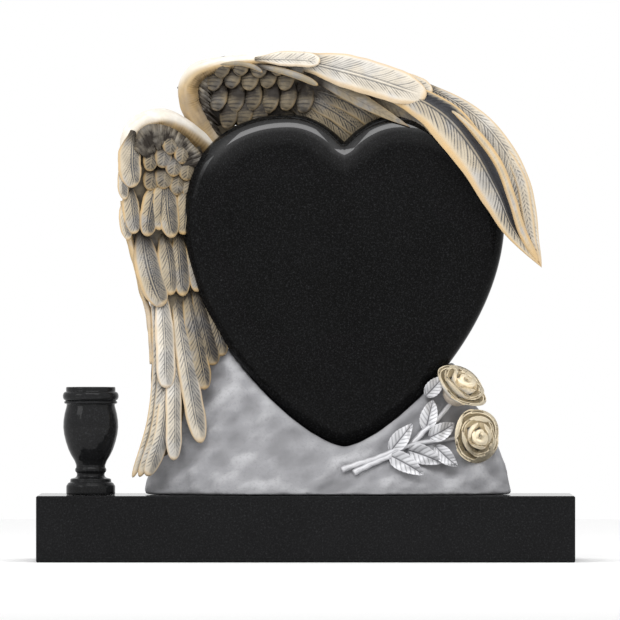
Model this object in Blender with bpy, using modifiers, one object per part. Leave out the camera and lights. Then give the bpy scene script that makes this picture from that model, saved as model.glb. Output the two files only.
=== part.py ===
# Heart headstone: a black granite heart in a pocket of a pale rock, on a black granite base, with two
# cast wings round the heart, a cast spray of roses on the rock and a turned vase on the base.
# Metres, +Z up, front towards -Y. The origin is the middle of the base's underside.

import math
from itertools import combinations

import bmesh
import bpy
from mathutils import Matrix, Vector, noise
from mathutils.bvhtree import BVHTree

# Driving dimensions
GAP = 0.0003  # clearance between pieces that touch

BASE_WIDTH = 0.900
BASE_DEPTH = 0.320
BASE_HEIGHT = 0.111
BASE_EASE = 0.002  # eased edge of the slab

HEART_WIDTH = 0.540
HEART_HEIGHT = 0.560
HEART_THICKNESS = 0.080
HEART_ROUND = 0.030  # radius of the front edge
HEART_BACK_ROUND = 0.010
HEART_X = 0.065  # heart's axis, right of the base's middle
HEART_Y = 0.010
HEART_LIFT = 0.080  # heart's tip above the base

ROCK_WIDTH = 0.606
ROCK_HEIGHT = 0.330
ROCK_FRONT = 0.125
ROCK_BACK = 0.135
ROCK_X = 0.039
ROCK_LUMP = 0.016  # height of the lumps
ROCK_LUMP_SIZE = 0.075

VASE_INSET = 0.089  # vase's axis from the base's left end
VASE_Y = -0.030
VASE_HEIGHT = 0.181
VASE_RING_RADIUS = 0.047
VASE_NECK_RADIUS = 0.0404
VASE_BODY_RADIUS = 0.0463
VASE_WAIST_RADIUS = 0.0231
VASE_FOOT_RADIUS = 0.0412
VASE_BORE_RADIUS = 0.030
VASE_BORE_DEPTH = 0.105

FEATHER_THICKNESS = 0.0075
FEATHER_LIFT = 0.006  # how far a feather stands in front of the ones behind it
WING_ARM_RADIUS = 0.015
WING_WALL = 0.016  # thickness of the plain body behind the feathers
WING_SWEEP = 0.145  # how far the left wing runs back over one heart width
WING_LEAN = 0.055  # how far it comes forward over the rock

ROSE_RADIUS = 0.042
PETAL_THICKNESS = 0.003
STEM_RADIUS = 0.0036
LEAF_THICKNESS = 0.005

# Sliver length in metres and flatness in degrees for cleaning a cast body, coarse first
CLEANING = ((0.00005, 1.5), (0.00002, 0.8), (0.00001, 0.3), (0.000002, 0.1))

# Heart outline, in shares of the half width and of the height
WIDEST_AT = 0.69
LOBE_AT = 0.352
NOTCH_AT = 0.917

BASE_TOP = BASE_HEIGHT
VASE_X = VASE_INSET - BASE_WIDTH / 2
HEART_TIP = BASE_TOP + HEART_LIFT
FRONT = Vector((0.0, -1.0, 0.0))


def clear_scene():
    for obj in list(bpy.data.objects):
        bpy.data.objects.remove(obj, do_unlink=True)


def new_collection(name):
    collection = bpy.data.collections.new(name)
    bpy.context.scene.collection.children.link(collection)
    return collection


def material(name, colour, roughness, metallic):
    mat = bpy.data.materials.new(name)
    mat.use_nodes = True
    shader = mat.node_tree.nodes["Principled BSDF"]
    shader.inputs["Base Color"].default_value = (*colour, 1.0)
    shader.inputs["Roughness"].default_value = roughness
    shader.inputs["Metallic"].default_value = metallic
    return mat


def add_object(name, bm, collection, mat=None):
    """Turns a bmesh into an object with outward faces."""
    bmesh.ops.recalc_face_normals(bm, faces=bm.faces)
    mesh = bpy.data.meshes.new(name)
    bm.to_mesh(mesh)
    bm.free()
    obj = bpy.data.objects.new(name, mesh)
    collection.objects.link(obj)
    if mat:
        mesh.materials.append(mat)
    return obj


def add_cutter(name, bm):
    obj = add_object(name, bm, CUTTERS)
    obj.hide_render = True
    obj.display_type = "WIRE"
    return obj


def boolean(obj, other, operation):
    mod = obj.modifiers.new(operation.lower(), "BOOLEAN")
    mod.operation = operation
    mod.solver = "EXACT"
    if isinstance(other, bpy.types.Collection):
        mod.operand_type = "COLLECTION"
        mod.collection = other
    else:
        mod.object = other


def largest_body(bm):
    """Removes every body but the one with the largest area."""
    left = set(bm.faces)
    bodies = []
    while left:
        stack = [left.pop()]
        body = set(stack)
        while stack:
            for edge in stack.pop().edges:
                for face in edge.link_faces:
                    if face in left:
                        left.discard(face)
                        body.add(face)
                        stack.append(face)
        bodies.append(body)
    largest = max(bodies, key=lambda body: sum(face.calc_area() for face in body))
    spare = [face for body in bodies if body is not largest for face in body]
    bmesh.ops.delete(bm, geom=spare, context="FACES")


def remove_flaps(bm):
    """Removes triangles that lie back to back on the same three points."""
    twins = {}
    for face in bm.faces:
        twins.setdefault(frozenset(face.verts), []).append(face)
    flaps = [face for faces in twins.values() if len(faces) > 1 for face in faces]
    bmesh.ops.delete(bm, geom=flaps, context="FACES")


def part_shared_edges(bm):
    """Turns the diagonal of one flat pair where two pairs of triangles share the same edge."""
    for edge in [edge for edge in bm.edges if len(edge.link_faces) > 2]:
        for one, two in combinations(list(edge.link_faces), 2):
            far = [next(vert for vert in face.verts if vert not in edge.verts) for face in (one, two)]
            normal = one.normal.copy()
            if normal.dot(two.normal) < 0.9999 or bm.edges.get(far):
                continue
            cross = far[1].co - far[0].co
            sides = [cross.cross(vert.co - far[0].co).dot(normal) for vert in edge.verts]
            if sides[0] * sides[1] >= 0:
                continue
            bm.faces.remove(one)
            bm.faces.remove(two)
            for vert in edge.verts:
                face = bm.faces.new((vert, *far))
                face.normal_update()
                if face.normal.dot(normal) < 0:
                    face.normal_flip()
            break


def main_body(obj):
    """Applies the modifiers, merges slivers and keeps the largest body, as coarsely as stays closed."""
    graph = bpy.context.evaluated_depsgraph_get()
    source = bmesh.new()
    source.from_object(obj, graph)
    obj.modifiers.clear()
    for sliver, flat in CLEANING:
        bm = source.copy()
        bmesh.ops.remove_doubles(bm, verts=bm.verts, dist=sliver)
        bmesh.ops.dissolve_degenerate(bm, edges=bm.edges, dist=sliver)
        bmesh.ops.dissolve_limit(bm, angle_limit=math.radians(flat), verts=bm.verts, edges=bm.edges)
        largest_body(bm)
        for _ in range(3):
            bmesh.ops.triangulate(bm, faces=bm.faces)
            bmesh.ops.dissolve_degenerate(bm, edges=bm.edges, dist=sliver / 10)
            remove_flaps(bm)
            part_shared_edges(bm)
        closed = all(len(edge.link_faces) == 2 for edge in bm.edges)
        if closed:
            break
    bm.to_mesh(obj.data)
    bm.free()
    source.free()


def loft(bm, rings, cap_start=True, cap_end=True):
    """Closed tube through rings of equal length; a ring of one point is a pole."""
    made = [[bm.verts.new(point) for point in ring] for ring in rings]
    for low, high in zip(made, made[1:]):
        count = max(len(low), len(high))
        for i in range(count):
            j = (i + 1) % count
            face = [low[i % len(low)], low[j % len(low)], high[j % len(high)], high[i % len(high)]]
            bm.faces.new(list(dict.fromkeys(face)))
    if cap_start and len(made[0]) > 2:
        bm.faces.new(made[0])
    if cap_end and len(made[-1]) > 2:
        bm.faces.new(made[-1])


def bezier(a, b, c, d, count):
    """Points on a cubic curve, without its last one."""
    points = []
    for i in range(count):
        t = i / count
        s = 1 - t
        points.append(a * s**3 + b * 3 * s * s * t + c * 3 * s * t * t + d * t**3)
    return points


def through(a, b, c, t):
    """Point on the parabola that passes a, b and c at t of 0, a half and 1."""
    handle = b * 2 - (a + c) / 2
    return a * (1 - t) ** 2 + handle * 2 * t * (1 - t) + c * t * t


def smooth_path(points, steps):
    """Catmull-Rom curve through the points."""
    ends = [points[0] * 2 - points[1]] + list(points) + [points[-1] * 2 - points[-2]]
    path = []
    for a, b, c, d in zip(ends, ends[1:], ends[2:], ends[3:]):
        for i in range(steps):
            t = i / steps
            path.append(
                0.5 * (2 * b + (c - a) * t + (2 * a - 5 * b + 4 * c - d) * t * t
                       + (3 * b - a - 3 * c + d) * t**3)
            )
    path.append(Vector(points[-1]))
    return path


def at(across, up, back):
    """A place in heart widths, heights and thicknesses from the heart's axis, tip and middle."""
    return Vector((HEART_X + across * HEART_WIDTH, HEART_Y + back * HEART_THICKNESS,
                   HEART_TIP + up * HEART_HEIGHT))


# Heart


def heart_half(steps):
    """Right half of the outline, from the tip to the notch, in metres from axis and tip."""
    half = HEART_WIDTH / 2

    def share(x, z):
        return Vector((x * half, z * HEART_HEIGHT))

    tip = share(0, 0)
    wide = share(1, WIDEST_AT)
    lobe = share(LOBE_AT, 1)
    notch = share(0, NOTCH_AT)
    points = bezier(tip, share(0.276, 0.018), wide - share(0, 0.351), wide, steps[0])
    points += bezier(wide, wide + share(0, 0.211), lobe + share(0.34, 0), lobe, steps[1])
    points += bezier(lobe, lobe - share(0.155, 0), notch + share(0.082, 0.043), notch, steps[2])
    return points + [notch]


def offset_outline(points, distance):
    """Moves a closed counter-clockwise outline outwards, with mitred corners."""
    moved = []
    for before, here, after in zip(points[-1:] + points[:-1], points, points[1:] + points[:1]):
        first = (here - before).normalized()
        second = (after - here).normalized()
        normal_a = Vector((first.y, -first.x))
        normal_b = Vector((second.y, -second.x))
        middle = (normal_a + normal_b).normalized()
        moved.append(here + middle * (distance / middle.dot(normal_a)))
    return moved


def heart_outline():
    half = heart_half((10, 7, 4))
    other = [Vector((-point.x, point.y)) for point in reversed(half[1:-1])]
    return half + other


def heart_bmesh(grow):
    """The heart as a loft of offset outlines, with a round front edge and a small back one."""
    outline = heart_outline()
    front = min(HEART_ROUND, HEART_THICKNESS * 0.6) + grow
    back = min(HEART_BACK_ROUND, HEART_THICKNESS * 0.3) + grow
    half = HEART_THICKNESS / 2 + grow
    sections = []
    for step in range(3):
        angle = math.radians(90 * step / 2)
        sections.append((half - back + back * math.cos(angle), grow - back + back * math.sin(angle)))
    for step in range(5):
        angle = math.radians(90 * step / 4)
        sections.append((-half + front - front * math.sin(angle), grow - front + front * math.cos(angle)))
    bm = bmesh.new()
    rings = []
    for y, inset in sections:
        ring = offset_outline(outline, inset)
        rings.append([Vector((HEART_X + p.x, HEART_Y + y, HEART_TIP + p.y)) for p in ring])
    loft(bm, rings)
    return bm


def heart_pocket():
    """Straight-sided space for the heart, open to the front."""
    outline = offset_outline(heart_outline(), GAP)
    back = HEART_Y + HEART_THICKNESS / 2 + GAP
    front = -BASE_DEPTH
    bm = bmesh.new()
    loft(bm, [[Vector((HEART_X + p.x, y, HEART_TIP + p.y)) for p in outline] for y in (back, front)])
    return bm


def make_heart():
    obj = add_object("heart", heart_bmesh(0.0), PARTS, GRANITE)
    obj.data.set_sharp_from_angle(angle=math.radians(40))
    return obj


# Rock


def rock_bmesh(grow):
    """A lumpy half egg: shallow in front of the heart, round behind, cut flat on the base."""
    bm = bmesh.new()
    bmesh.ops.create_icosphere(bm, subdivisions=4, radius=1.0)
    floor = BASE_TOP + GAP
    for vert in bm.verts:
        x, y, z = vert.co
        rise = max(z, 0.0)
        lean = (1 - rise) ** 2.2 if y < 0 else 1.0
        depth = ROCK_FRONT * lean if y < 0 else ROCK_BACK
        square = 1 - 0.12 * abs(z)
        place = Vector((ROCK_X + x * ROCK_WIDTH / 2 * square, y * depth, floor + z * ROCK_HEIGHT))
        out = Vector((x, y, z)).normalized()
        big = noise.noise(place / ROCK_LUMP_SIZE + Vector((3.1, 0.4, 7.7)))
        small = noise.noise(place / ROCK_LUMP_SIZE * 2.3)
        vert.co = place + out * ROCK_LUMP * (big + 0.45 * small)
    bm.normal_update()
    for vert in bm.verts:
        vert.co += vert.normal * grow
    bmesh.ops.bisect_plane(
        bm, geom=bm.verts[:] + bm.edges[:] + bm.faces[:], plane_co=(0, 0, floor - grow),
        plane_no=(0, 0, -1), clear_outer=True)
    edges = [edge for edge in bm.edges if edge.is_boundary]
    bmesh.ops.holes_fill(bm, edges=edges)
    return bm


def make_rock():
    obj = add_object("rock", rock_bmesh(0.0), PARTS, ROCK_STONE)
    boolean(obj, add_cutter("heart_pocket", heart_pocket()), "DIFFERENCE")
    main_body(obj)
    return obj


# Feathers and wings


def feather(collection, root, mid, tip, width, camber=0.25, blunt=0.28, thick=1.0, spans=5, small=False):
    """A closed blade along a parabola: parallel sides, a round tip and a raised middle."""
    bm = bmesh.new()
    rings = []
    deep = FEATHER_THICKNESS * thick
    for i in range(spans):
        t = i / spans
        here = through(root, mid, tip, t)
        along = (through(root, mid, tip, t + 0.02) - here).normalized()
        side = along.cross(FRONT).normalized()
        out = side.cross(along).normalized()
        near_tip = max(0.0, (t - (1 - blunt)) / blunt)
        near_root = max(0.0, 1 - t / 0.35)
        half = width / 2 * math.sqrt(max(1 - near_tip**2, 0.0)) * (1 - 0.45 * near_root**2)
        thin = deep * (1 - 0.45 * t)
        crown = half * camber
        ring = [
            here - side * half,
            here - side * half * 0.5 + out * (crown * 0.75 + thin * 0.3),
            here + out * (crown + thin * 0.5),
            here + side * half * 0.5 + out * (crown * 0.75 + thin * 0.3),
            here + side * half,
            here + out * (crown * 0.5 - thin),
        ]
        rings.append([ring[k] for k in (0, 2, 4, 5)] if small else ring)
    rings.append([tip])
    loft(bm, rings)
    return add_object("feather", bm, collection)


def tube(collection, points, radii, sides, steps=3):
    """A round bar along a smooth path with a radius given at each point."""
    path = smooth_path(points, steps)
    curve = bpy.data.curves.new("tube", "CURVE")
    curve.dimensions = "3D"
    curve.bevel_depth = 1.0
    curve.bevel_resolution = sides
    curve.use_fill_caps = True
    spline = curve.splines.new("POLY")
    spline.points.add(len(path) - 1)
    for i, place in enumerate(path):
        share = i / steps
        low = min(int(share), len(radii) - 1)
        high = min(low + 1, len(radii) - 1)
        spline.points[i].co = (*place, 1.0)
        spline.points[i].radius = radii[low] + (radii[high] - radii[low]) * (share - low)
    obj = bpy.data.objects.new("tube", curve)
    collection.objects.link(obj)
    graph = bpy.context.evaluated_depsgraph_get()
    graph.update()
    bm = bmesh.new()
    mesh = bpy.data.meshes.new_from_object(obj.evaluated_get(graph))
    bm.from_mesh(mesh)
    bpy.data.meshes.remove(mesh)
    bpy.data.objects.remove(obj, do_unlink=True)
    bmesh.ops.remove_doubles(bm, verts=bm.verts, dist=0.00005)
    return add_object("tube", bm, collection)


def join_cast(name, collection, mat, carriers):
    """Unites the pieces of a casting, then cuts away what carries it, with the clearance."""
    pieces = list(collection.objects)
    body = pieces[0]
    collection.objects.unlink(body)
    PARTS.objects.link(body)
    body.name = name
    boolean(body, collection, "UNION")
    main_body(body)
    for piece in pieces[1:]:
        bpy.data.objects.remove(piece, do_unlink=True)
    for carrier in carriers:
        boolean(body, carrier, "DIFFERENCE")
        main_body(body)
    body.data.materials.clear()
    body.data.materials.append(mat)
    return body


def smooth_step(low, high, value):
    t = min(max((value - low) / (high - low), 0.0), 1.0)
    return t * t * (3 - 2 * t)


def on_left(across, up, lift):
    """A place on the left wing, which comes forward at its outer edge and down over the rock."""
    lean = WING_LEAN * smooth_step(0.55, -0.08, up)
    place = at(across, up, -0.4)
    place.y += WING_SWEEP * (across + 0.685) - lean - lift * FEATHER_LIFT
    return place


def left_feathers(wing, layout, lift, camber=0.26, blunt=0.30, spans=4):
    """Feathers given by root, middle and tip, each a little in front of the one before."""
    for i, (root, mid, tip, width) in enumerate(layout):
        front = lift + 0.25 * i
        feather(wing, on_left(*root, 0.2 * lift - 0.6), on_left(*mid, 0.9 * front), on_left(*tip, front),
                width * HEART_HEIGHT, camber, blunt=blunt, spans=spans)


def scale_feather(wing, tip, root, width):
    """A short cupped feather."""
    middle = (root + tip) / 2 + FRONT * FEATHER_LIFT
    feather(wing, root, middle, tip, width * HEART_HEIGHT, 0.35, spans=3, blunt=0.5, small=True)


def make_wing_left():
    """Hangs from an arm behind the heart: scales, two tiers and the long feathers."""
    root_space = new_collection("wing_right_root")
    right_wing_root(root_space, GAP)
    for piece in root_space.objects:
        piece.hide_render = True
        piece.display_type = "WIRE"
    wing = new_collection("wing_left_pieces")
    arm = [at(-0.342, 0.83, 0.70), at(-0.381, 0.868, 0.65), at(-0.430, 0.905, 0.56),
           at(-0.493, 0.953, 0.40), at(-0.555, 0.985, 0.20), at(-0.611, 0.985, 0.02),
           at(-0.653, 0.955, -0.12), at(-0.676, 0.895, -0.22), at(-0.681, 0.800, -0.28),
           at(-0.671, 0.690, -0.32)]
    radii = [WING_ARM_RADIUS * s for s in (1, 1, 1.1, 1.25, 1.4, 1.35, 1.15, 0.9, 0.7, 0.5)]
    tube(wing, arm, radii, 1, 1)
    edge = [(-0.684, 0.74), (-0.676, 0.66), (-0.652, 0.57), (-0.628, 0.47), (-0.606, 0.38), (-0.597, 0.25)]
    sizes = [WING_ARM_RADIUS * s for s in (0.5, 0.45, 0.4, 0.35, 0.3, 0.2)]
    tube(wing, [on_left(*place, 0.3) for place in edge], sizes, 1, 1)
    wall = [on_left(-0.560, 0.960, -1.0), on_left(-0.545, 0.55, -0.8), on_left(-0.520, 0.11, -0.4)]
    feather(wing, *wall, 0.200 * HEART_HEIGHT, 0.03, blunt=0.6, thick=WING_WALL / FEATHER_THICKNESS)
    long_ones = (
        ((-0.592, 0.352), (-0.584, 0.110), (-0.660, -0.096), 0.034),
        ((-0.580, 0.300), (-0.572, 0.090), (-0.641, -0.092), 0.040),
        ((-0.555, 0.300), (-0.560, 0.090), (-0.614, -0.088), 0.054),
        ((-0.436, 0.500), (-0.407, 0.385), (-0.381, 0.272), 0.054),
        ((-0.467, 0.490), (-0.436, 0.360), (-0.407, 0.245), 0.056),
        ((-0.493, 0.470), (-0.464, 0.320), (-0.437, 0.172), 0.060),
        ((-0.524, 0.440), (-0.486, 0.220), (-0.446, 0.012), 0.064),
        ((-0.535, 0.330), (-0.531, 0.130), (-0.530, -0.039), 0.052),
        ((-0.572, 0.480), (-0.558, 0.320), (-0.555, 0.177), 0.062),
    )
    left_feathers(wing, long_ones, 1.0, blunt=0.22)
    second = (
        ((-0.456, 0.640), (-0.441, 0.56), (-0.430, 0.487), 0.050),
        ((-0.477, 0.640), (-0.467, 0.56), (-0.458, 0.465), 0.054),
        ((-0.518, 0.640), (-0.511, 0.55), (-0.502, 0.452), 0.058),
        ((-0.565, 0.640), (-0.550, 0.55), (-0.541, 0.455), 0.060),
        ((-0.629, 0.650), (-0.607, 0.527), (-0.563, 0.423), 0.086),
    )
    left_feathers(wing, second, 1.8)
    first = (
        ((-0.461, 0.79), (-0.467, 0.72), (-0.470, 0.640), 0.052),
        ((-0.493, 0.79), (-0.498, 0.72), (-0.502, 0.637), 0.056),
        ((-0.581, 0.79), (-0.601, 0.72), (-0.614, 0.632), 0.062),
        ((-0.550, 0.80), (-0.550, 0.72), (-0.534, 0.628), 0.068),
    )
    left_feathers(wing, first, 2.0)
    outer = (
        ((-0.676, 0.758), (-0.682, 0.689), (-0.670, 0.622), 0.038),
        ((-0.669, 0.800), (-0.664, 0.713), (-0.651, 0.640), 0.054),
        ((-0.672, 0.945), (-0.675, 0.857), (-0.656, 0.780), 0.074),
    )
    left_feathers(wing, outer, 2.0)
    scales = ((-0.590, 0.770), (-0.486, 0.750), (-0.545, 0.778), (-0.592, 0.828), (-0.490, 0.808),
              (-0.540, 0.846), (-0.570, 0.882), (-0.508, 0.868))
    for i, (across, up) in enumerate(scales):
        tip = on_left(across, up, 1.6 + 0.15 * i)
        scale_feather(wing, tip, tip + at(0, 0.06, 0.22) - at(0, 0, 0), 0.058)
    return join_cast("wing_left", wing, WING_METAL, [HEART_CUTTER, ROCK_CUTTER, root_space])


def right_wing_root(collection, grow):
    """Arm and back wall of the right wing, which carry its feathers behind the heart."""
    arm = [at(-0.124, 0.40, 0.78), at(-0.207, 0.60, 0.73), at(-0.311, 0.80, 0.71), at(-0.368, 0.875, 0.71),
           at(-0.424, 0.938, 0.65), at(-0.457, 0.987, 0.56), at(-0.480, 1.037, 0.45),
           at(-0.485, 1.085, 0.33), at(-0.459, 1.125, 0.20), at(-0.410, 1.146, 0.10),
           at(-0.340, 1.157, 0.02), at(-0.262, 1.163, -0.07), at(-0.166, 1.163, -0.15),
           at(-0.083, 1.152, -0.18)]
    sizes = (1.4, 1.2, 1.1, 1.1, 1.15, 1.2, 1.15, 1.1, 1.0, 0.85, 0.7, 0.57, 0.53, 0.4)
    tube(collection, arm, [WING_ARM_RADIUS * s + grow for s in sizes], 1, 1)
    feather(collection, at(-0.456, 1.01, 0.58), at(-0.228, 1.075, 0.27), at(0.110, 0.985, 0.30),
            0.19 * HEART_HEIGHT + grow * 2, -0.10, blunt=0.4,
            thick=(WING_WALL + grow * 2) / FEATHER_THICKNESS)


def make_wing_right():
    """Rooted behind the heart's left lobe, over its top and down in front of its right side."""
    wing = new_collection("wing_right_pieces")
    right_wing_root(wing, 0.0)
    rows = ((3, -0.381, -0.281, 0.958, 0.12, 0.080), (6, -0.409, -0.140, 1.004, 0.10, 0.080),
            (5, -0.421, -0.196, 1.073, 0.14, 0.070), (5, -0.393, -0.165, 1.112, -0.08, 0.044))
    for count, left, right, up, back, reach in rows:
        for i in range(count):
            across = left + (right - left) * i / (count - 1)
            deep = back + 0.8 * max(0.0, -0.2 - across)
            tip = at(across, up + 0.006 * (i % 2), deep)
            scale_feather(wing, tip, tip + at(0.012, reach, 0.9 * reach) - at(0, 0, 0), 0.056)
    inner = (
        ((-0.166, 1.030, 0.24), (-0.073, 0.985, 0.18), (0.002, 0.905, 0.26), 0.062),
        ((-0.156, 1.055, 0.22), (-0.041, 1.015, 0.14), (0.062, 0.940, 0.18), 0.062),
        ((-0.145, 1.080, 0.20), (0.003, 1.045, 0.12), (0.124, 0.962, 0.14), 0.062),
        ((-0.124, 1.095, 0.18), (0.041, 1.055, 0.10), (0.187, 0.970, 0.06), 0.060),
        ((-0.104, 1.136, -0.17), (0.050, 1.047, -0.30), (0.206, 0.958, -0.48), 0.040),
        ((-0.280, 1.165, -0.15), (-0.168, 1.166, -0.30), (-0.075, 1.158, -0.38), 0.046),
        ((-0.446, 1.140, 0.10), (-0.327, 1.150, -0.05), (-0.254, 1.124, -0.12), 0.022),
        ((-0.293, 1.150, -0.08), (-0.168, 1.122, -0.25), (-0.081, 1.085, -0.33), 0.026),
        ((0.081, 1.122, -0.25), (0.180, 1.094, -0.42), (0.274, 1.060, -0.53), 0.066),
        ((-0.135, 1.158, -0.12), (0.057, 1.115, -0.50), (0.255, 1.050, -0.65), 0.102),
    )
    for root, middle, tip, width in inner:
        feather(wing, at(*root), at(*middle), at(*tip), width * HEART_HEIGHT)
    outer = (
        ((0.237, 1.062, -0.35), (0.356, 1.015, -0.47), (0.443, 0.945, -0.57), (0.506, 0.850, -0.63),
         (0.540, 0.745, -0.69), (0.562, 0.640, -0.76), (0.610, 0.538, -0.84)),
        ((0.269, 1.040, -0.42), (0.378, 0.985, -0.57), (0.461, 0.900, -0.68), (0.508, 0.800, -0.74),
         (0.537, 0.700, -0.79), (0.563, 0.610, -0.83), (0.612, 0.538, -0.88)),
        ((0.105, 1.085, -0.36), (0.222, 1.022, -0.62), (0.330, 0.935, -0.86), (0.411, 0.838, -0.97),
         (0.472, 0.727, -1.00), (0.530, 0.625, -0.95), (0.614, 0.538, -0.90)),
    )
    for places, width in zip(outer, (0.078, 0.060, 0.104)):
        path = smooth_path([at(*place) for place in places], 2)
        long_feather(wing, path, width * HEART_HEIGHT)
    return join_cast("wing_right", wing, WING_METAL, [HEART_CUTTER, ROCK_CUTTER])


def long_feather(collection, path, width):
    """A blade along a path of many points, square to the view, with a slim tip."""
    bm = bmesh.new()
    rings = []
    last = len(path) - 1
    for i, here in enumerate(path[:-1]):
        along = (path[i + 1] - here).normalized()
        side = along.cross(FRONT).normalized()
        out = side.cross(along).normalized()
        t = i / last
        half = width / 2 * (1 - t**5) ** 0.8 * (0.6 + 0.4 * min(1.0, 4 * t))
        crown = half * 0.22
        thin = FEATHER_THICKNESS * (1 - 0.4 * t)
        rings.append([
            here - side * half,
            here - side * half * 0.5 + out * (crown * 0.75 + thin * 0.3),
            here + out * (crown + thin * 0.5),
            here + side * half * 0.5 + out * (crown * 0.75 + thin * 0.3),
            here + side * half,
            here + out * (crown * 0.5 - thin),
        ])
    rings.append([path[-1]])
    loft(bm, rings)
    return add_object("feather", bm, collection)


# Rose spray


def on_rock(across, up, stand_off):
    """A point in front of the rock's surface, where a line from the front meets it."""
    start = at(across, up, 0)
    start.y = -BASE_DEPTH
    hit = ROCK_TREE.ray_cast(start, -FRONT)[0]
    y = hit.y if hit else HEART_Y
    return Vector((start.x, y - stand_off, start.z))


def petal(collection, centre, turn, radius, height, start, half, flare):
    """A cupped plate round the rose's axis, from the calyx up to a rolled rim."""
    across = 3
    up = 2
    outer = []
    inner = []
    for j in range(up + 1):
        t = j / up
        for i in range(across + 1):
            s = 2 * i / across - 1
            angle = start + s * half * (0.55 + 0.45 * math.sin(t * math.pi * 0.75))
            r = radius * (0.30 + 0.70 * math.sin(t * math.pi / 2)) + flare * t**3
            z = height * t * (1 - 0.22 * s * s * t)
            for shell, thick in ((outer, 0.0), (inner, PETAL_THICKNESS)):
                flat = Vector((math.cos(angle), math.sin(angle), 0)) * (r - thick)
                shell.append(centre + turn @ (flat + Vector((0, 0, z + thick * 0.4))))
    bm = bmesh.new()
    front = [bm.verts.new(point) for point in outer]
    back = [bm.verts.new(point) for point in inner]
    row = across + 1
    for j in range(up):
        for i in range(across):
            a = j * row + i
            bm.faces.new((front[a], front[a + 1], front[a + row + 1], front[a + row]))
            bm.faces.new((back[a + row], back[a + row + 1], back[a + 1], back[a]))
    rim = list(range(row))
    rim += [j * row + across for j in range(1, up + 1)]
    rim += [up * row + i for i in range(across - 1, -1, -1)]
    rim += [j * row for j in range(up - 1, 0, -1)]
    for a, b in zip(rim, rim[1:] + rim[:1]):
        bm.faces.new((front[b], front[a], back[a], back[b]))
    return add_object("petal", bm, collection)


def rose(collection, centre, axis, radius):
    """A bud, two whorls of petals round it and a round calyx under them."""
    turn = axis.to_track_quat("Z", "X").to_matrix()
    back = centre - axis * radius * 0.55
    bm = bmesh.new()
    bmesh.ops.create_icosphere(bm, subdivisions=1, radius=radius * 0.62)
    place = Matrix.Translation(back + axis * radius * 0.10) @ turn.to_4x4() @ Matrix.Diagonal((1, 1, 0.75, 1))
    bmesh.ops.transform(bm, matrix=place, verts=bm.verts)
    add_object("calyx", bm, collection)
    bm = bmesh.new()
    bmesh.ops.create_cone(bm, cap_ends=True, segments=8, radius1=radius * 0.30, radius2=radius * 0.14,
                          depth=radius * 0.9)
    place = Matrix.Translation(back + axis * radius * 0.62) @ turn.to_4x4()
    bmesh.ops.transform(bm, matrix=place, verts=bm.verts)
    add_object("bud", bm, collection)
    for count, size, high, flare, phase in ((3, 0.56, 1.05, 0.0, 0.4), (5, 0.92, 0.92, 0.16, 0.0)):
        for i in range(count):
            start = phase + 2 * math.pi * i / count
            petal(collection, back, turn, radius * size, radius * high, start, math.pi / count * 1.27,
                  radius * flare)


def make_rose_spray():
    """Two roses on the rock's right side with seven leaves on their stems."""
    spray = new_collection("rose_spray_pieces")
    lower = on_rock(0.410, 0.030, 0.72 * ROSE_RADIUS)
    upper = on_rock(0.358, 0.178, 0.55 * ROSE_RADIUS)
    rose(spray, lower, Vector((0.45, -0.86, 0.10)).normalized(), ROSE_RADIUS)
    rose(spray, upper, Vector((0.62, -0.66, 0.42)).normalized(), ROSE_RADIUS * 0.92)
    stems = (
        ((-0.008, -0.066), (0.047, -0.047), (0.092, -0.034), (0.142, -0.015), (0.228, 0.012), (0.373, 0.03)),
        ((0.028, -0.075), (0.081, -0.050), (0.137, -0.027), (0.161, -0.012)),
        ((0.207, 0.006), (0.244, 0.045), (0.280, 0.075), (0.347, 0.150)),
    )
    for points in stems:
        path = [on_rock(x, z, STEM_RADIUS * 1.6) for x, z in points]
        tube(spray, path, [STEM_RADIUS] * len(path), 0, 1)
    leaves = (
        ((0.142, -0.012), (0.209, 0.069), 0.055), ((0.202, 0.002), (0.301, -0.046), 0.060),
        ((0.142, -0.024), (0.247, -0.082), 0.055), ((0.252, 0.050), (0.276, 0.142), 0.055),
        ((0.264, 0.030), (0.342, 0.072), 0.055), ((0.285, 0.016), (0.351, -0.055), 0.050),
        ((0.326, 0.190), (0.250, 0.150), 0.050),
    )
    for base, tip, width in leaves:
        start = on_rock(*base, LEAF_THICKNESS * 1.2)
        end = on_rock(*tip, LEAF_THICKNESS * 2.8)
        middle = (start + end) / 2 + FRONT * LEAF_THICKNESS * 2.4
        feather(spray, start, middle, end, width * HEART_HEIGHT, -0.18, blunt=0.75,
                thick=LEAF_THICKNESS / FEATHER_THICKNESS, spans=3)
    return join_cast("rose_spray", spray, SPRAY_METAL, [HEART_CUTTER, ROCK_CUTTER])


# Vase and base


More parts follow.
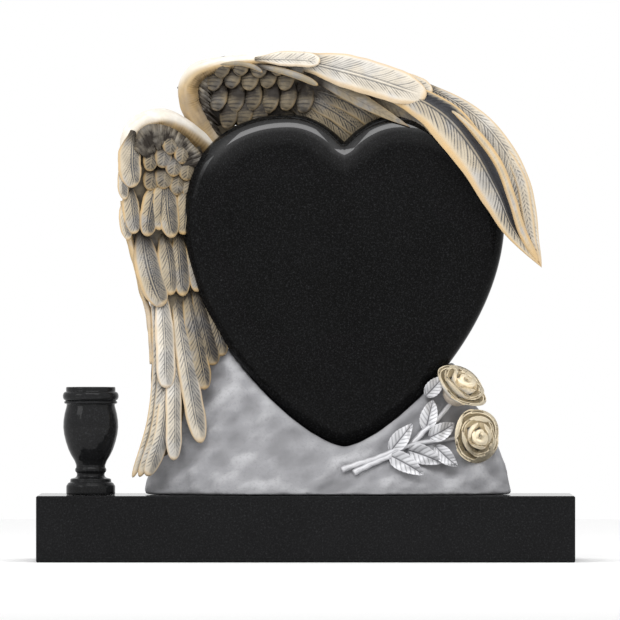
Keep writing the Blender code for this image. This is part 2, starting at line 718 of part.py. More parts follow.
def vase_profile():
    """Outer line from the top rim to the foot, then the bore from its floor to the rim."""
    h = VASE_HEIGHT
    ring = VASE_RING_RADIUS
    foot = VASE_FOOT_RADIUS
    waist = VASE_WAIST_RADIUS
    top = [(ring * 0.86, h), (ring * 0.885, h * 0.99), (ring * 0.885, h * 0.955)]
    torus = [(ring * (0.90 + 0.10 * math.sin(a)), h * (0.915 + 0.04 * math.cos(a)))
             for a in (math.radians(d) for d in (20, 55, 90, 125, 160))]
    neck = [(ring * 0.95, h * 0.865), (ring * 0.95, h * 0.848), (VASE_NECK_RADIUS, h * 0.825)]
    body = [(VASE_BODY_RADIUS, h * 0.62), (VASE_BODY_RADIUS * 0.90, h * 0.488), (ring * 0.70, h * 0.361),
            (waist * 1.06, h * 0.274), (waist * 1.12, h * 0.25), (waist * 1.12, h * 0.21), (waist, h * 0.19)]
    base = [(waist * 1.08, h * 0.165), (foot * 0.84, h * 0.145), (foot * 0.84, h * 0.125),
            (foot * 0.93, h * 0.112), (foot, h * 0.09), (foot, 0.0)]
    bore = [(VASE_BORE_RADIUS * 0.9, h - VASE_BORE_DEPTH), (VASE_BORE_RADIUS, h - VASE_BORE_DEPTH + 0.01)]
    bore += [(VASE_BORE_RADIUS, h - 0.004), (VASE_BORE_RADIUS + 0.004, h)]
    neck.append((VASE_NECK_RADIUS * 1.07, h * 0.75))
    return top + torus + neck + body + base, bore


def make_vase():
    """The profile turned about the vase's axis, with its bore open at the top."""
    outside, bore = vase_profile()
    line = [(0.0, 0.0)] + outside[::-1] + bore[::-1] + [(0.0, VASE_HEIGHT - VASE_BORE_DEPTH)]
    line = line[::-1]
    mesh = bpy.data.meshes.new("vase")
    verts = [(radius, 0.0, height) for radius, height in line]
    mesh.from_pydata(verts, [(i, i + 1) for i in range(len(verts) - 1)], [])
    obj = bpy.data.objects.new("vase", mesh)
    PARTS.objects.link(obj)
    obj.location = (VASE_X, VASE_Y, BASE_TOP + GAP)
    screw = obj.modifiers.new("turn", "SCREW")
    screw.steps = 16
    screw.render_steps = 16
    screw.use_merge_vertices = True
    screw.merge_threshold = 0.00005
    screw.use_normal_calculate = True
    mesh.materials.append(GRANITE)
    return obj


def make_base():
    bm = bmesh.new()
    bmesh.ops.create_cube(bm, size=1.0)
    bmesh.ops.scale(bm, vec=(BASE_WIDTH, BASE_DEPTH, BASE_HEIGHT), verts=bm.verts)
    bmesh.ops.translate(bm, vec=(0, 0, BASE_HEIGHT / 2), verts=bm.verts)
    obj = add_object("base", bm, PARTS, GRANITE)
    bevel = obj.modifiers.new("ease", "BEVEL")
    bevel.width = BASE_EASE
    bevel.segments = 1
    return obj


clear_scene()
PARTS = new_collection("heart_headstone")
CUTTERS = new_collection("cutters")
GRANITE = material("black_granite", (0.012, 0.012, 0.013), 0.12, 0.0)
ROCK_STONE = material("grey_stone", (0.45, 0.45, 0.47), 0.75, 0.0)
WING_METAL = material("cream_gold", (0.62, 0.52, 0.38), 0.45, 0.35)
SPRAY_METAL = material("silver_cream", (0.66, 0.62, 0.54), 0.45, 0.25)

make_base()
make_heart()
HEART_CUTTER = add_cutter("heart_space", heart_bmesh(GAP))
rock_object = make_rock()
ROCK_CUTTER = add_cutter("rock_space", rock_bmesh(GAP))
boolean(ROCK_CUTTER, bpy.data.objects["heart_pocket"], "DIFFERENCE")
tree_mesh = bmesh.new()
tree_mesh.from_mesh(rock_object.data)
ROCK_TREE = BVHTree.FromBMesh(tree_mesh)
tree_mesh.free()
make_wing_left()
make_wing_right()
make_rose_spray()
make_vase()
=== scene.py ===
import math

import bpy
import numpy as np
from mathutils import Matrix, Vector


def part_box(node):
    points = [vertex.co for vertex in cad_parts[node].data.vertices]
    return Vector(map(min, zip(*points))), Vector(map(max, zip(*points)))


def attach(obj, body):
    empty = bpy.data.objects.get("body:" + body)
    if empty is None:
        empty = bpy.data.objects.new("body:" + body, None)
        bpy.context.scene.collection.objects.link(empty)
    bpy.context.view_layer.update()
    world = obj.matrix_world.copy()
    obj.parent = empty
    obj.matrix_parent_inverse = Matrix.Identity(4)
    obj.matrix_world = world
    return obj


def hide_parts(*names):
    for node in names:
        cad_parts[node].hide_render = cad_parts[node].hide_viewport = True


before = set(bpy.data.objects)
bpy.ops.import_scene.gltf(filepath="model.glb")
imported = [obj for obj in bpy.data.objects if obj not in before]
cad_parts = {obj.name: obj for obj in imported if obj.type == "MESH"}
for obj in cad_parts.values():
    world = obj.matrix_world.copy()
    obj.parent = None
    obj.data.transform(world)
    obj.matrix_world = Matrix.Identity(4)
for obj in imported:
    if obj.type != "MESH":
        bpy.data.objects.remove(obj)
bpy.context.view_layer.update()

print("frame loaded")

front = np.array([0.0, -1.0, 0.0])
heartLow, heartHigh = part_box("heart")
heartAxis = (heartLow[0] + heartHigh[0]) / 2
heartTip = heartLow[2]
heartTall = heartHigh[2] - heartLow[2]
heartHalf = (heartHigh[0] - heartLow[0]) / 2
heartMiddle = (heartLow[1] + heartHigh[1]) / 2
heartThick = heartHigh[1] - heartLow[1]
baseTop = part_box("base")[1][2]


# shared shapes


def at(across, up, y):
    # a place in heart heights from the heart's axis and tip, with its own depth in metres
    return np.array([heartAxis + across * heartTall, y, heartTip + up * heartTall])


def unit(v):
    # the same directions, each one long
    return v / np.maximum(np.linalg.norm(v, axis=-1, keepdims=True), 1e-12)


def waves(points, size, seed, count=14):
    # soft lumps: a sum of sine waves in random directions, about -1 to 1
    draw = np.random.RandomState(seed)
    total = np.zeros(points.shape[:-1])
    for i in range(count):
        way = unit(draw.normal(size=3)) * draw.uniform(0.6, 1.5) * 2 * math.pi / size
        total += np.sin(points @ way + draw.uniform(0, 6.3))
    return total / math.sqrt(count) * 0.8


def smoothPath(points, t):
    # Catmull-Rom curve through the points, read at t from 0 to 1
    p = np.vstack([2 * points[0] - points[1], points, 2 * points[-1] - points[-2]])
    place = np.clip(t, 0, 1) * (len(points) - 1)
    k = np.minimum(place.astype(int), len(points) - 2)
    f = (place - k)[:, None]
    a, b, c, d = p[k], p[k + 1], p[k + 2], p[k + 3]
    return 0.5 * (2 * b + (c - a) * f + (2 * a - 5 * b + 4 * c - d) * f**2 + (3 * b - a - 3 * c + d) * f**3)


def smoothStep(low, high, x):
    # 0 up to low, 1 from high, and 3 t squared - 2 t cubed between them
    t = np.clip((x - low) / (high - low), 0, 1)
    return t * t * (3 - 2 * t)


def tubeFaces(rows, around, start):
    # faces of a closed tube of rings, with a pole vertex before the first ring and one after the last
    i = np.arange(rows - 1)[:, None]
    j = np.arange(around)[None, :]
    n = (j + 1) % around
    base = start + 1
    quads = np.stack([base + i * around + j + 0 * n, base + i * around + n,
                      base + (i + 1) * around + n, base + (i + 1) * around + j], -1).reshape(-1, 4)
    j = np.arange(around)
    n = (j + 1) % around
    first = np.stack([np.full(around, start), base + n, base + j], -1)
    last = base + (rows - 1) * around
    end = np.stack([np.full(around, start + 1 + rows * around), last + j, last + n], -1)
    return quads, first, end


class Piece:
    # gathers closed tubes with their per-vertex values and makes one mesh object of them
    def __init__(self, name, values=()):
        self.name = name
        self.verts = []
        self.quads = []
        self.tris = []
        self.values = {key: [] for key in values}
        self.count = 0

    def add(self, rings, startPole, endPole, **values):
        rows, around = rings.shape[:2]
        quads, first, end = tubeFaces(rows, around, self.count)
        points = np.vstack([startPole[None], rings.reshape(-1, 3), endPole[None]])
        # outward check: the signed volume of the closed tube
        tris = np.vstack([quads[:, [0, 1, 2]], quads[:, [0, 2, 3]], first, end]) - self.count
        a, b, c = points[tris[:, 0]], points[tris[:, 1]], points[tris[:, 2]]
        if np.einsum("ij,ij->i", a, np.cross(b, c)).sum() < 0:
            quads, first, end = quads[:, ::-1], first[:, ::-1], end[:, ::-1]
        self.verts.append(points)
        self.quads.append(quads)
        self.tris += [first, end]
        for key, parts in self.values.items():
            v = np.broadcast_to(values.get(key, 0.0), (rows, around))
            parts.append(np.concatenate([[v[0].mean()], v.ravel(), [v[-1].mean()]]))
        self.count += len(points)

    def make(self, mat):
        verts = np.vstack(self.verts)
        quads = np.vstack(self.quads)
        tris = np.vstack(self.tris)
        mesh = bpy.data.meshes.new(self.name)
        mesh.from_pydata(verts.tolist(), [], quads.tolist() + tris.tolist())
        mesh.polygons.foreach_set("use_smooth", np.ones(len(mesh.polygons), bool))
        for key, parts in self.values.items():
            layer = mesh.attributes.new(key, "FLOAT", "POINT")
            layer.data.foreach_set("value", np.concatenate(parts).astype(np.float32))
        mesh.update()
        obj = bpy.data.objects.new(self.name, mesh)
        bpy.context.scene.collection.objects.link(obj)
        mesh.materials.append(mat)
        print(self.name, 2 * len(quads) + len(tris), "triangles")
        return obj


# shader maths


class Val:
    # a socket with arithmetic: each operator adds one Math node
    def __init__(self, tree, socket):
        self.tree = tree
        self.socket = socket

    def math(self, operation, other, flip=False):
        values = [other, self] if flip else [self, other]
        return self.tree.node("ShaderNodeMath", {"operation": operation}, dict(enumerate(values)))[0]

    def __add__(self, other):
        return self.math("ADD", other)

    def __sub__(self, other):
        return self.math("SUBTRACT", other)

    def __rsub__(self, other):
        return self.math("SUBTRACT", other, flip=True)

    def __mul__(self, other):
        return self.math("MULTIPLY", other)

    __radd__ = __add__
    __rmul__ = __mul__

    def clamp(self):
        return self.math("MAXIMUM", 0.0).math("MINIMUM", 1.0)


class Tree:
    # one material's nodes: node() adds any kind of node and returns its outputs
    def __init__(self, name):
        self.mat = bpy.data.materials.new(name)
        self.mat.use_nodes = True
        self.nodes = self.mat.node_tree.nodes
        self.links = self.mat.node_tree.links
        self.shader = self.nodes["Principled BSDF"]

    def node(self, kind, settings, sockets):
        made = self.nodes.new(kind)
        for key, value in settings.items():
            setattr(made, key, value)
        for key, value in sockets.items():
            self.put(made.inputs[key], value)
        return [Val(self, out) for out in made.outputs]

    def put(self, socket, value):
        if isinstance(value, Val):
            self.links.new(value.socket, socket)
        else:
            socket.default_value = value

    def value(self, name):
        settings = {"attribute_name": name, "attribute_type": "GEOMETRY"}
        return self.node("ShaderNodeAttribute", settings, {})[2]

    def noise(self, scale, detail, rough=0.5):
        place = self.node("ShaderNodeTexCoord", {}, {})[3]  # Object coordinates
        sockets = {"Vector": place, "Scale": scale, "Detail": detail, "Roughness": rough}
        return self.node("ShaderNodeTexNoise", {}, sockets)[0]

    def mix(self, low, high, factor):
        return self.node("ShaderNodeMix", {"data_type": "RGBA"}, {0: factor, 6: low, 7: high})[2]

    def band(self, value, low, high):
        return self.node("ShaderNodeMapRange", {"interpolation_type": "SMOOTHSTEP"},
                         {"Value": value, "From Min": low, "From Max": high})[0]

    def bump(self, height, distance, strength=1.0):
        sockets = {"Height": height, "Distance": distance, "Strength": strength}
        self.put(self.shader.inputs["Normal"], self.node("ShaderNodeBump", {}, sockets)[0])

    def set(self, **sockets):
        names = {"colour": "Base Color", "rough": "Roughness", "metal": "Metallic", "coat": "Coat Weight",
                 "coatRough": "Coat Roughness", "coatIor": "Coat IOR", "specular": "Specular IOR Level"}
        for key, value in sockets.items():
            self.put(self.shader.inputs[names[key]], value)


def rgb(r, g, b):
    return (r, g, b, 1.0)


graniteLook = {
    "black": rgb(0.0034, 0.0034, 0.0034), "speck": rgb(0.024, 0.0245, 0.026), "rough": 0.10, "specular": 0.04,
    "fine": 620.0, "fleck": 300.0, "cloud": 9.0,  # noise scales
    "coatRough": 0.04, "coatIor": 1.62,
}


def graniteMaterial(name, lift):
    # near black, lifted by crystals: black to speck by 0.4 fine + 0.6 fleck + 0.05 cloud + lift, where fine,
    # fleck and cloud are three sizes of noise cut to spots. The edge value adds a clear coat: on the heart only
    # where its rounded edge faces up, a painted highlight band; on the vase evenly
    look = graniteLook
    t = Tree(name)
    fine = t.band(t.noise(look["fine"], 2.0), 0.50, 0.70)
    fleck = t.band(t.noise(look["fleck"], 3.0, 0.6), 0.52, 0.72)
    cloud = t.band(t.noise(look["cloud"], 3.0), 0.35, 0.7)
    spots = (fine * 0.4 + fleck * 0.6 + cloud * 0.05 + lift).clamp()
    t.set(colour=t.mix(look["black"], look["speck"], spots), rough=fleck * 0.06 + look["rough"],
          specular=look["specular"])
    t.set(coat=t.value("edge"), coatRough=look["coatRough"], coatIor=look["coatIor"])
    return t.mat


rockLook = {
    "dark": rgb(0.22, 0.22, 0.23), "mid": rgb(0.285, 0.285, 0.298), "pale": rgb(0.44, 0.44, 0.455),
    "rough": 0.65, "cloud": 26.0, "grain": 210.0, "pits": 60.0, "bump": 0.0012,
}


def rockMaterial():
    # grey by height, painted shade in the hollows and a painted highlight on the lumps, mixed with a cloudy
    # mottle:
    # height = lump + 1.1 (cloud - 0.5); the grain darkens small spots of it
    look = rockLook
    t = Tree("grey_stone_dressed")
    cloud = t.noise(look["cloud"], 5.0, 0.6)
    grain = t.noise(look["grain"], 5.0, 0.7)
    height = t.value("lump") + (cloud - 0.5) * 1.1
    colour = t.mix(look["dark"], look["mid"], t.band(height, -1.2, 0.0))
    colour = t.mix(colour, look["pale"], t.band(height, -0.2, 1.5))
    colour = t.mix(look["dark"], colour, (t.band(grain, 0.30, 0.52) * 0.45 + 0.55).clamp())
    t.set(colour=colour, rough=grain * 0.2 + look["rough"], specular=0.3)
    t.bump(grain * 0.5 + t.noise(look["pits"], 4.0, 0.6), look["bump"])
    return t.mat


wingLook = {
    "slate": rgb(0.026, 0.030, 0.040), "vane": rgb(0.47, 0.385, 0.255), "gold": rgb(0.62, 0.39, 0.14),
    # cream is the painted highlight colour, brown the painted shade colour
    "cream": rgb(0.86, 0.82, 0.75), "brown": rgb(0.022, 0.017, 0.013), "blue": rgb(0.30, 0.33, 0.38),
    "patch": 38.0, "tone": 22.0, "cast": 420.0, "bump": 0.0005,
}


def wingMaterial():
    # slate patina in the grooves to pale on the vanes by 1.25 rise + 0.2 wear - 0.25, then gold by
    # rim (0.35 wear + 0.6), then cream by the painted highlight value (0.7 rise + 0.3) (0.3 wear + 0.75) (1 -
    # 0.55 rim), and brown by the painted shade value (1.1 - 0.3 wear); wear is a patchy noise, and a second one
    # turns the vanes blue in places
    look = wingLook
    t = Tree("wing_cream_gold")
    rise = t.value("rise")
    rim = t.value("rim")
    patch = t.noise(look["patch"], 5.0, 0.6)
    wear = t.band(patch, 0.35, 0.7)
    tone = t.band(t.noise(look["tone"], 4.0, 0.6), 0.48, 0.66)
    vane = t.mix(look["vane"], look["blue"], tone * 0.5)
    colour = t.mix(look["slate"], vane, (rise * 1.25 + wear * 0.2 - 0.25).clamp())
    colour = t.mix(colour, look["gold"], (rim * (wear * 0.35 + 0.6)).clamp())
    # painted highlight in cream, then painted shade in brown
    highlight = t.value("bleach") * (rise * 0.7 + 0.3) * (wear * 0.3 + 0.75) * (1.0 - rim * 0.55)
    colour = t.mix(colour, look["cream"], highlight.clamp())
    colour = t.mix(colour, look["brown"], (t.value("shade") * (1.1 - wear * 0.3)).clamp())
    t.set(colour=colour, rough=patch * 0.25 + 0.36, metal=0.05, specular=0.22)
    t.bump(t.noise(look["cast"], 3.0), look["bump"], 0.6)
    return t.mat


sprayLook = {
    "silver": rgb(0.66, 0.66, 0.68), "grey": rgb(0.12, 0.12, 0.13), "cream": rgb(0.96, 0.83, 0.60),
    "brown": rgb(0.22, 0.145, 0.085), "body": rgb(0.92, 0.87, 0.77),
    "leafPatch": 60.0, "rosePatch": 70.0, "cast": 500.0, "leafBump": 0.0004, "roseBump": 0.0003,
}


def leafMaterial():
    # grey along the veins to silver white between them, by 1.1 rise + 0.3 patch - 0.2
    look = sprayLook
    t = Tree("spray_silver")
    patch = t.noise(look["leafPatch"], 4.0, 0.6)
    pale = (t.value("rise") * 1.1 + patch * 0.3 - 0.2).clamp()
    t.set(colour=t.mix(look["grey"], look["silver"], pale), rough=patch * 0.3 + 0.28, metal=0.3)
    t.bump(t.noise(look["cast"], 2.0), look["leafBump"], 0.5)
    return t.mat


def roseMaterial():
    # brown deep between the petals to a pale body, by 1.2 rise + 0.2 patch - 0.1, with cream on the rims
    look = sprayLook
    t = Tree("spray_cream")
    patch = t.noise(look["rosePatch"], 4.0, 0.6)
    pale = (t.value("rise") * 1.2 + patch * 0.2 - 0.1).clamp()
    colour = t.mix(t.mix(look["brown"], look["body"], pale), look["cream"], t.value("rim").clamp())
    t.set(colour=colour, rough=patch * 0.25 + 0.3, metal=0.1)
    t.bump(t.noise(look["cast"], 2.0), look["roseBump"], 0.5)
    return t.mat


granite = graniteMaterial("black_granite_polished", 0.0)
# the same granite made lighter: a lit copy for the base and the vase, painted light
litGranite = graniteMaterial("black_granite_lit", 0.22)
stone = rockMaterial()
wingMetal = wingMaterial()
silver = leafMaterial()
cream = roseMaterial()
print("materials made")

nodeFinish = {"base": litGranite, "heart": granite, "vase": litGranite, "rock": stone,
              "wing_left": wingMetal, "wing_right": wingMetal, "rose_spray": silver}
for node, mat in nodeFinish.items():
    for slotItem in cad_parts[node].material_slots:
        slotItem.material = mat


# feathers


featherLook = {
    "face": front,  # the way its upper side looks
    "camber": 0.22, "thick": 0.0060,  # crown, in shares of the half width, and thickness
    "blunt": 0.30, "point": 0.0,  # share of the length that narrows, from round at 0 to pointed at 1
    "rootWidth": 0.55, "root": 0.30,  # width at the root, and how far the painted shade at the root reaches
    "pitch": 0.0085, "slant": 1.8, "cut": 1.0, "barb": 0.0010,  # the barbs' spacing, slant, share and depth
    "rachis": 0.08, "stem": 1.0,  # place of the rib across the blade, and its strength
    "lip": 0.12, "wideLip": 0.0,  # smooth rim, and how much wider it is on one side
    "trough": 0.0, "darkSide": 0.0,  # depth and place of a long hollow
    "bleach": 0.0, "dark": 0.0, "gold": 0.8,  # painted highlight, painted shade, and how gold the rim is
    "halfShade": 0.0, "tipDark": 0.0,  # painted shade on one side of the rib, and towards the tip
    "samples": 6.0, "rows": (24, 260), "across": 30,  # points to a barb, along the blade, and across it
    "seed": 0,
}


def bladePath(points, rows):
    # centre line, its tangents and its length: a parabola through three points, or a smooth path through more
    t = np.linspace(0, 1, rows)
    points = np.array(points)
    if len(points) == 3:
        handle = 2 * points[1] - (points[0] + points[2]) / 2
        f = t[:, None]
        line = points[0] * (1 - f) ** 2 + handle * 2 * f * (1 - f) + points[2] * f * f
    else:
        line = smoothPath(points, t)
    along = unit(np.gradient(line, axis=0))
    length = np.concatenate([[0], np.cumsum(np.linalg.norm(np.diff(line, axis=0), axis=1))])
    return t, line, along, length


def chance(index, seed):
    # an even scatter from 0 to 1 for each whole number
    return (np.sin(index * 12.9898 + seed * 78.233) * 43758.5453) % 1.0


def addFeather(piece, points, width, **changes):
    # a closed blade on a grid, with s from -1 to 1 across it and t from 0 to 1 along it: its height is a crown
    # of (1 - s squared), plus half its thickness, less the trough, plus the barb's depth times the sum of rib,
    # grooves, gutters and rim; the grooves are a cosine of (length - slant * distance from the rib) / pitch
    look = {**featherLook, **changes}
    guess = np.linalg.norm(np.diff(np.array(points), axis=0), axis=1).sum()
    rows = int(np.clip(guess / look["pitch"] * look["samples"], *look["rows"]))
    t, line, along, length = bladePath(points, rows + 2)
    side = unit(np.cross(along, unit(np.array(look["face"], float))))[1:-1, None]
    out = np.cross(side[:, 0], along[1:-1])[:, None]
    line, ends = line[1:-1, None], (line[0], line[-1])
    t = t[1:-1, None]
    reach = length[1:-1, None]
    # outline
    blunt = look["blunt"]
    nearTip = np.clip((t - (1 - blunt)) / blunt, 0, 1)
    roundTip = np.sqrt(np.maximum(1 - nearTip**2, 0))
    slimTip = (1 - nearTip**1.5) ** 0.9
    shape = roundTip + (slimTip - roundTip) * look["point"]
    shape = shape * (look["rootWidth"] + (1 - look["rootWidth"]) * smoothStep(0, 0.42, t))
    half = width / 2 * shape * (1 + 0.012 * np.sin(t * 23 + look["seed"]) + 0.010 * np.sin(t * 41))
    s = np.sin(np.linspace(-math.pi / 2, math.pi / 2, look["across"]) * 0.985)[None, :]
    b = s[:, ::4][:, ::-1][:, 1:-1]  # the underside's coarser points
    # barbs
    off = s - look["rachis"]
    wide = np.abs(off) * half
    wobble = 0.20 * np.sin(reach / look["pitch"] * 0.9 + 3 * np.sign(off)) + 0.8 * np.sign(off)
    phase = (reach - look["slant"] * wide * (1 - 0.25 * np.abs(off))) / look["pitch"] + wobble
    index = np.round(phase)
    strong = 0.25 + 0.75 * chance(index, look["seed"] + np.sign(off))
    short = chance(index + 0.5, look["seed"] + 3)
    groove = (0.5 + 0.5 * np.cos(2 * math.pi * phase)) ** 3 * strong * look["cut"]
    fine = 0.5 + 0.5 * np.cos(2 * math.pi * phase * 2 + 1)
    lip = look["lip"] + look["wideLip"] * smoothStep(0, 0.3, s)
    clearOfLip = 1 - smoothStep(1 - lip * 2.2 - 0.25 * short, 1 - lip, np.abs(s))
    band = smoothStep(0.06, 0.16, np.abs(off)) * clearOfLip
    band = band * (1 - smoothStep(0.88, 0.97, t))
    groove = groove * band
    fine = fine * band * 0.30 * look["cut"]
    # rib, gutters beside it, rim and trough
    tall = 1 - smoothStep(0.80, 0.97, t)
    rib = np.exp(-(off / 0.045) ** 2) * tall * look["stem"]
    gutter = np.exp(-((np.abs(off) - 0.09) / 0.035) ** 2) * tall * look["stem"]
    rim = smoothStep(1 - lip * 1.7, 1 - lip * 0.6, np.abs(s)) * smoothStep(0.0, 0.15, t)
    end = blunt * look["lip"]
    rim = np.maximum(rim, smoothStep(1 - end * 1.8, 1 - end * 0.5, t))
    swell = np.sin(math.pi * t) ** 0.5
    flat = 0 * s * t
    hollow = np.exp(-((s - look["darkSide"]) / 0.30) ** 2) * swell if look["trough"] else flat
    # both faces
    thin = look["thick"] * (1 - 0.45 * t)
    edge = np.clip(1 - s**2, 0, 1)
    height = half * look["camber"] * edge + thin * 0.5 * np.sqrt(edge) - look["trough"] * hollow
    height = height + look["barb"] * (rib * 1.1 - groove - fine - gutter * 1.2 + rim * edge**0.3 * 0.9)
    under = half * look["camber"] * (1 - b**2) * 0.6 - thin * np.sqrt(np.clip(1 - b**2, 0, 1)) * 0.9
    under = under - look["trough"] * np.exp(-((b - look["darkSide"]) / 0.30) ** 2) * swell
    over = line + side * (s * half)[..., None] + out * height[..., None]
    below = line + side * (b * half)[..., None] + out * under[..., None]
    # colour values: slate patina in the grooves and gutters, with painted shade and painted highlight over it
    # the trough's share is a painted shadow cast by the rim beside it
    rise = 1 - 1.1 * groove - 0.6 * fine - 0.80 * gutter - 1.15 * hollow - 0.15 * (1 - np.abs(s)) * (1 - rim)
    # painted shade on one side of the rib
    rise = rise - look["halfShade"] * smoothStep(0.0, 0.3, -off) * (1 - rim)
    # painted shade at the root under the feathers over it, towards the tip, and in the trough
    shadow = (1 - smoothStep(0.02, look["root"], t)) * (1 - 0.5 * look["bleach"])
    shadow = shadow + look["tipDark"] * smoothStep(0.1, 0.8, t) + (0.6 * hollow if look["trough"] else 0)
    # painted highlight along the blade, kept out of the trough
    bleach = look["bleach"] * smoothStep(0, 0.3, t) * (1 - hollow)
    plain = 0 * b * t

    def both(upper, lower):
        return np.concatenate([upper, lower + plain], axis=1)

    # the underside gets a fixed painted shade and a third of the painted highlight
    piece.add(np.concatenate([over, below], axis=1), *ends, rise=both(np.clip(rise, 0, 1), 0.7),
              rim=both(np.clip(rim * look["gold"], 0, 1), 0.15), bleach=both(bleach, 0.3 * look["bleach"]),
              shade=both(np.clip(look["dark"] + 0.85 * shadow + flat, 0, 1), 0.4))


# the arm's painted highlight strength on its upper side, and the way to its fringe
armLook = {"rows": 150, "around": 44, "hair": 0.0009, "stroke": 0.0045, "bleach": 1.0, "fringe": (0, 0, -1)}


def addArm(piece, points, radii, **changes):
    # a tapering tube: radius = size + hair (strands - 1.2 stroke), where strands are sines round and along it
    # and strokes are a cosine of its length where it faces the fringe; painted highlight on its upper side, and
    # painted shade on its lower side and towards the fringe
    look = {**armLook, **changes}
    t, line, along, length = bladePath(points, look["rows"])
    side = unit(np.cross(along, front))
    out = np.cross(side, along)
    size = smoothPath(np.array(radii)[:, None] * np.ones((1, 3)), t)[:, :1]
    a = np.linspace(0, 2 * math.pi, look["around"], endpoint=False)[None, :]
    far = length[:, None]
    strands = np.sin(a * 9 + 2.2 * np.sin(far * 55)) + 0.7 * np.sin(a * 17 - 3 * np.sin(far * 38))
    strands = strands * (0.5 + 0.5 * np.sin(far * 90 + a * 3))
    normal = side[:, None] * np.cos(a)[..., None] + out[:, None] * np.sin(a)[..., None]
    toFringe = smoothStep(0.25, 0.85, normal @ unit(np.array(look["fringe"], float)))
    index = np.round(far / look["stroke"])
    stroke = (0.5 + 0.5 * np.cos(2 * math.pi * far / look["stroke"])) ** 2
    stroke = stroke * toFringe * (0.4 + 0.6 * chance(index, 5))
    r = size + look["hair"] * (strands - 1.2 * stroke)
    rings = line[:, None] + normal * r[..., None]
    up = normal[..., 2]
    # painted shade where it faces down; painted highlight above, away from the fringe; painted shade below and
    # towards the fringe
    rise = np.clip(0.92 + 0.10 * strands - 0.9 * stroke - 0.25 * smoothStep(0.2, -0.9, up), 0, 1)
    highlight = look["bleach"] * smoothStep(-0.35, 0.5, up) * (1 - 0.8 * toFringe)
    piece.add(rings, line[0], line[-1], rise=rise, rim=np.clip(0.55 - 0.5 * highlight + 0.2 * toFringe, 0, 1),
              bleach=highlight, shade=np.clip(0.45 * smoothStep(-0.3, -1.0, up) + 0.35 * toFringe, 0, 1))


hairLook = {
    "far": (0.45, 0.55), "wide": (0.0070, 0.0040), "dark": 0.35,  # the least and the spread of reach and width
    "lift": 0.004,
    # the locks' settings: a painted highlight, and painted shade growing towards their tips in the hollow
    "blade": dict(camber=0.5, thick=0.003, blunt=0.9, point=1.0, rootWidth=0.9, pitch=0.010, cut=0, stem=0,
                  across=14, gold=0.9, root=0.01, bleach=0.45, tipDark=0.65),
}


def addHairs(piece, starts, ends, face, seed):
    # tapering locks from the arm into the hollow, of uneven length and shade
    look = hairLook
    for k, (start, end) in enumerate(zip(starts, ends)):
        end = start + (end - start) * (look["far"][0] + look["far"][1] * float(chance(k, seed)))
        middle = (start + end) / 2 + front * look["lift"]
        wide = look["wide"][0] + look["wide"][1] * float(chance(k, seed + 9))
        dark = look["dark"] * float(chance(k + 0.5, seed))
        addFeather(piece, [start, middle, end], wide, face=face, dark=dark, **look["blade"])


wingValues = ("rise", "rim", "bleach", "shade")  # height in the relief, gold edge, painted highlight, painted shade


def makeWingPiece(piece, node):
    # each wing is two pieces on one node, which keeps each under its triangle limit
    obj = piece.make(wingMetal)
    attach(obj, "root")
    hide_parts(node)


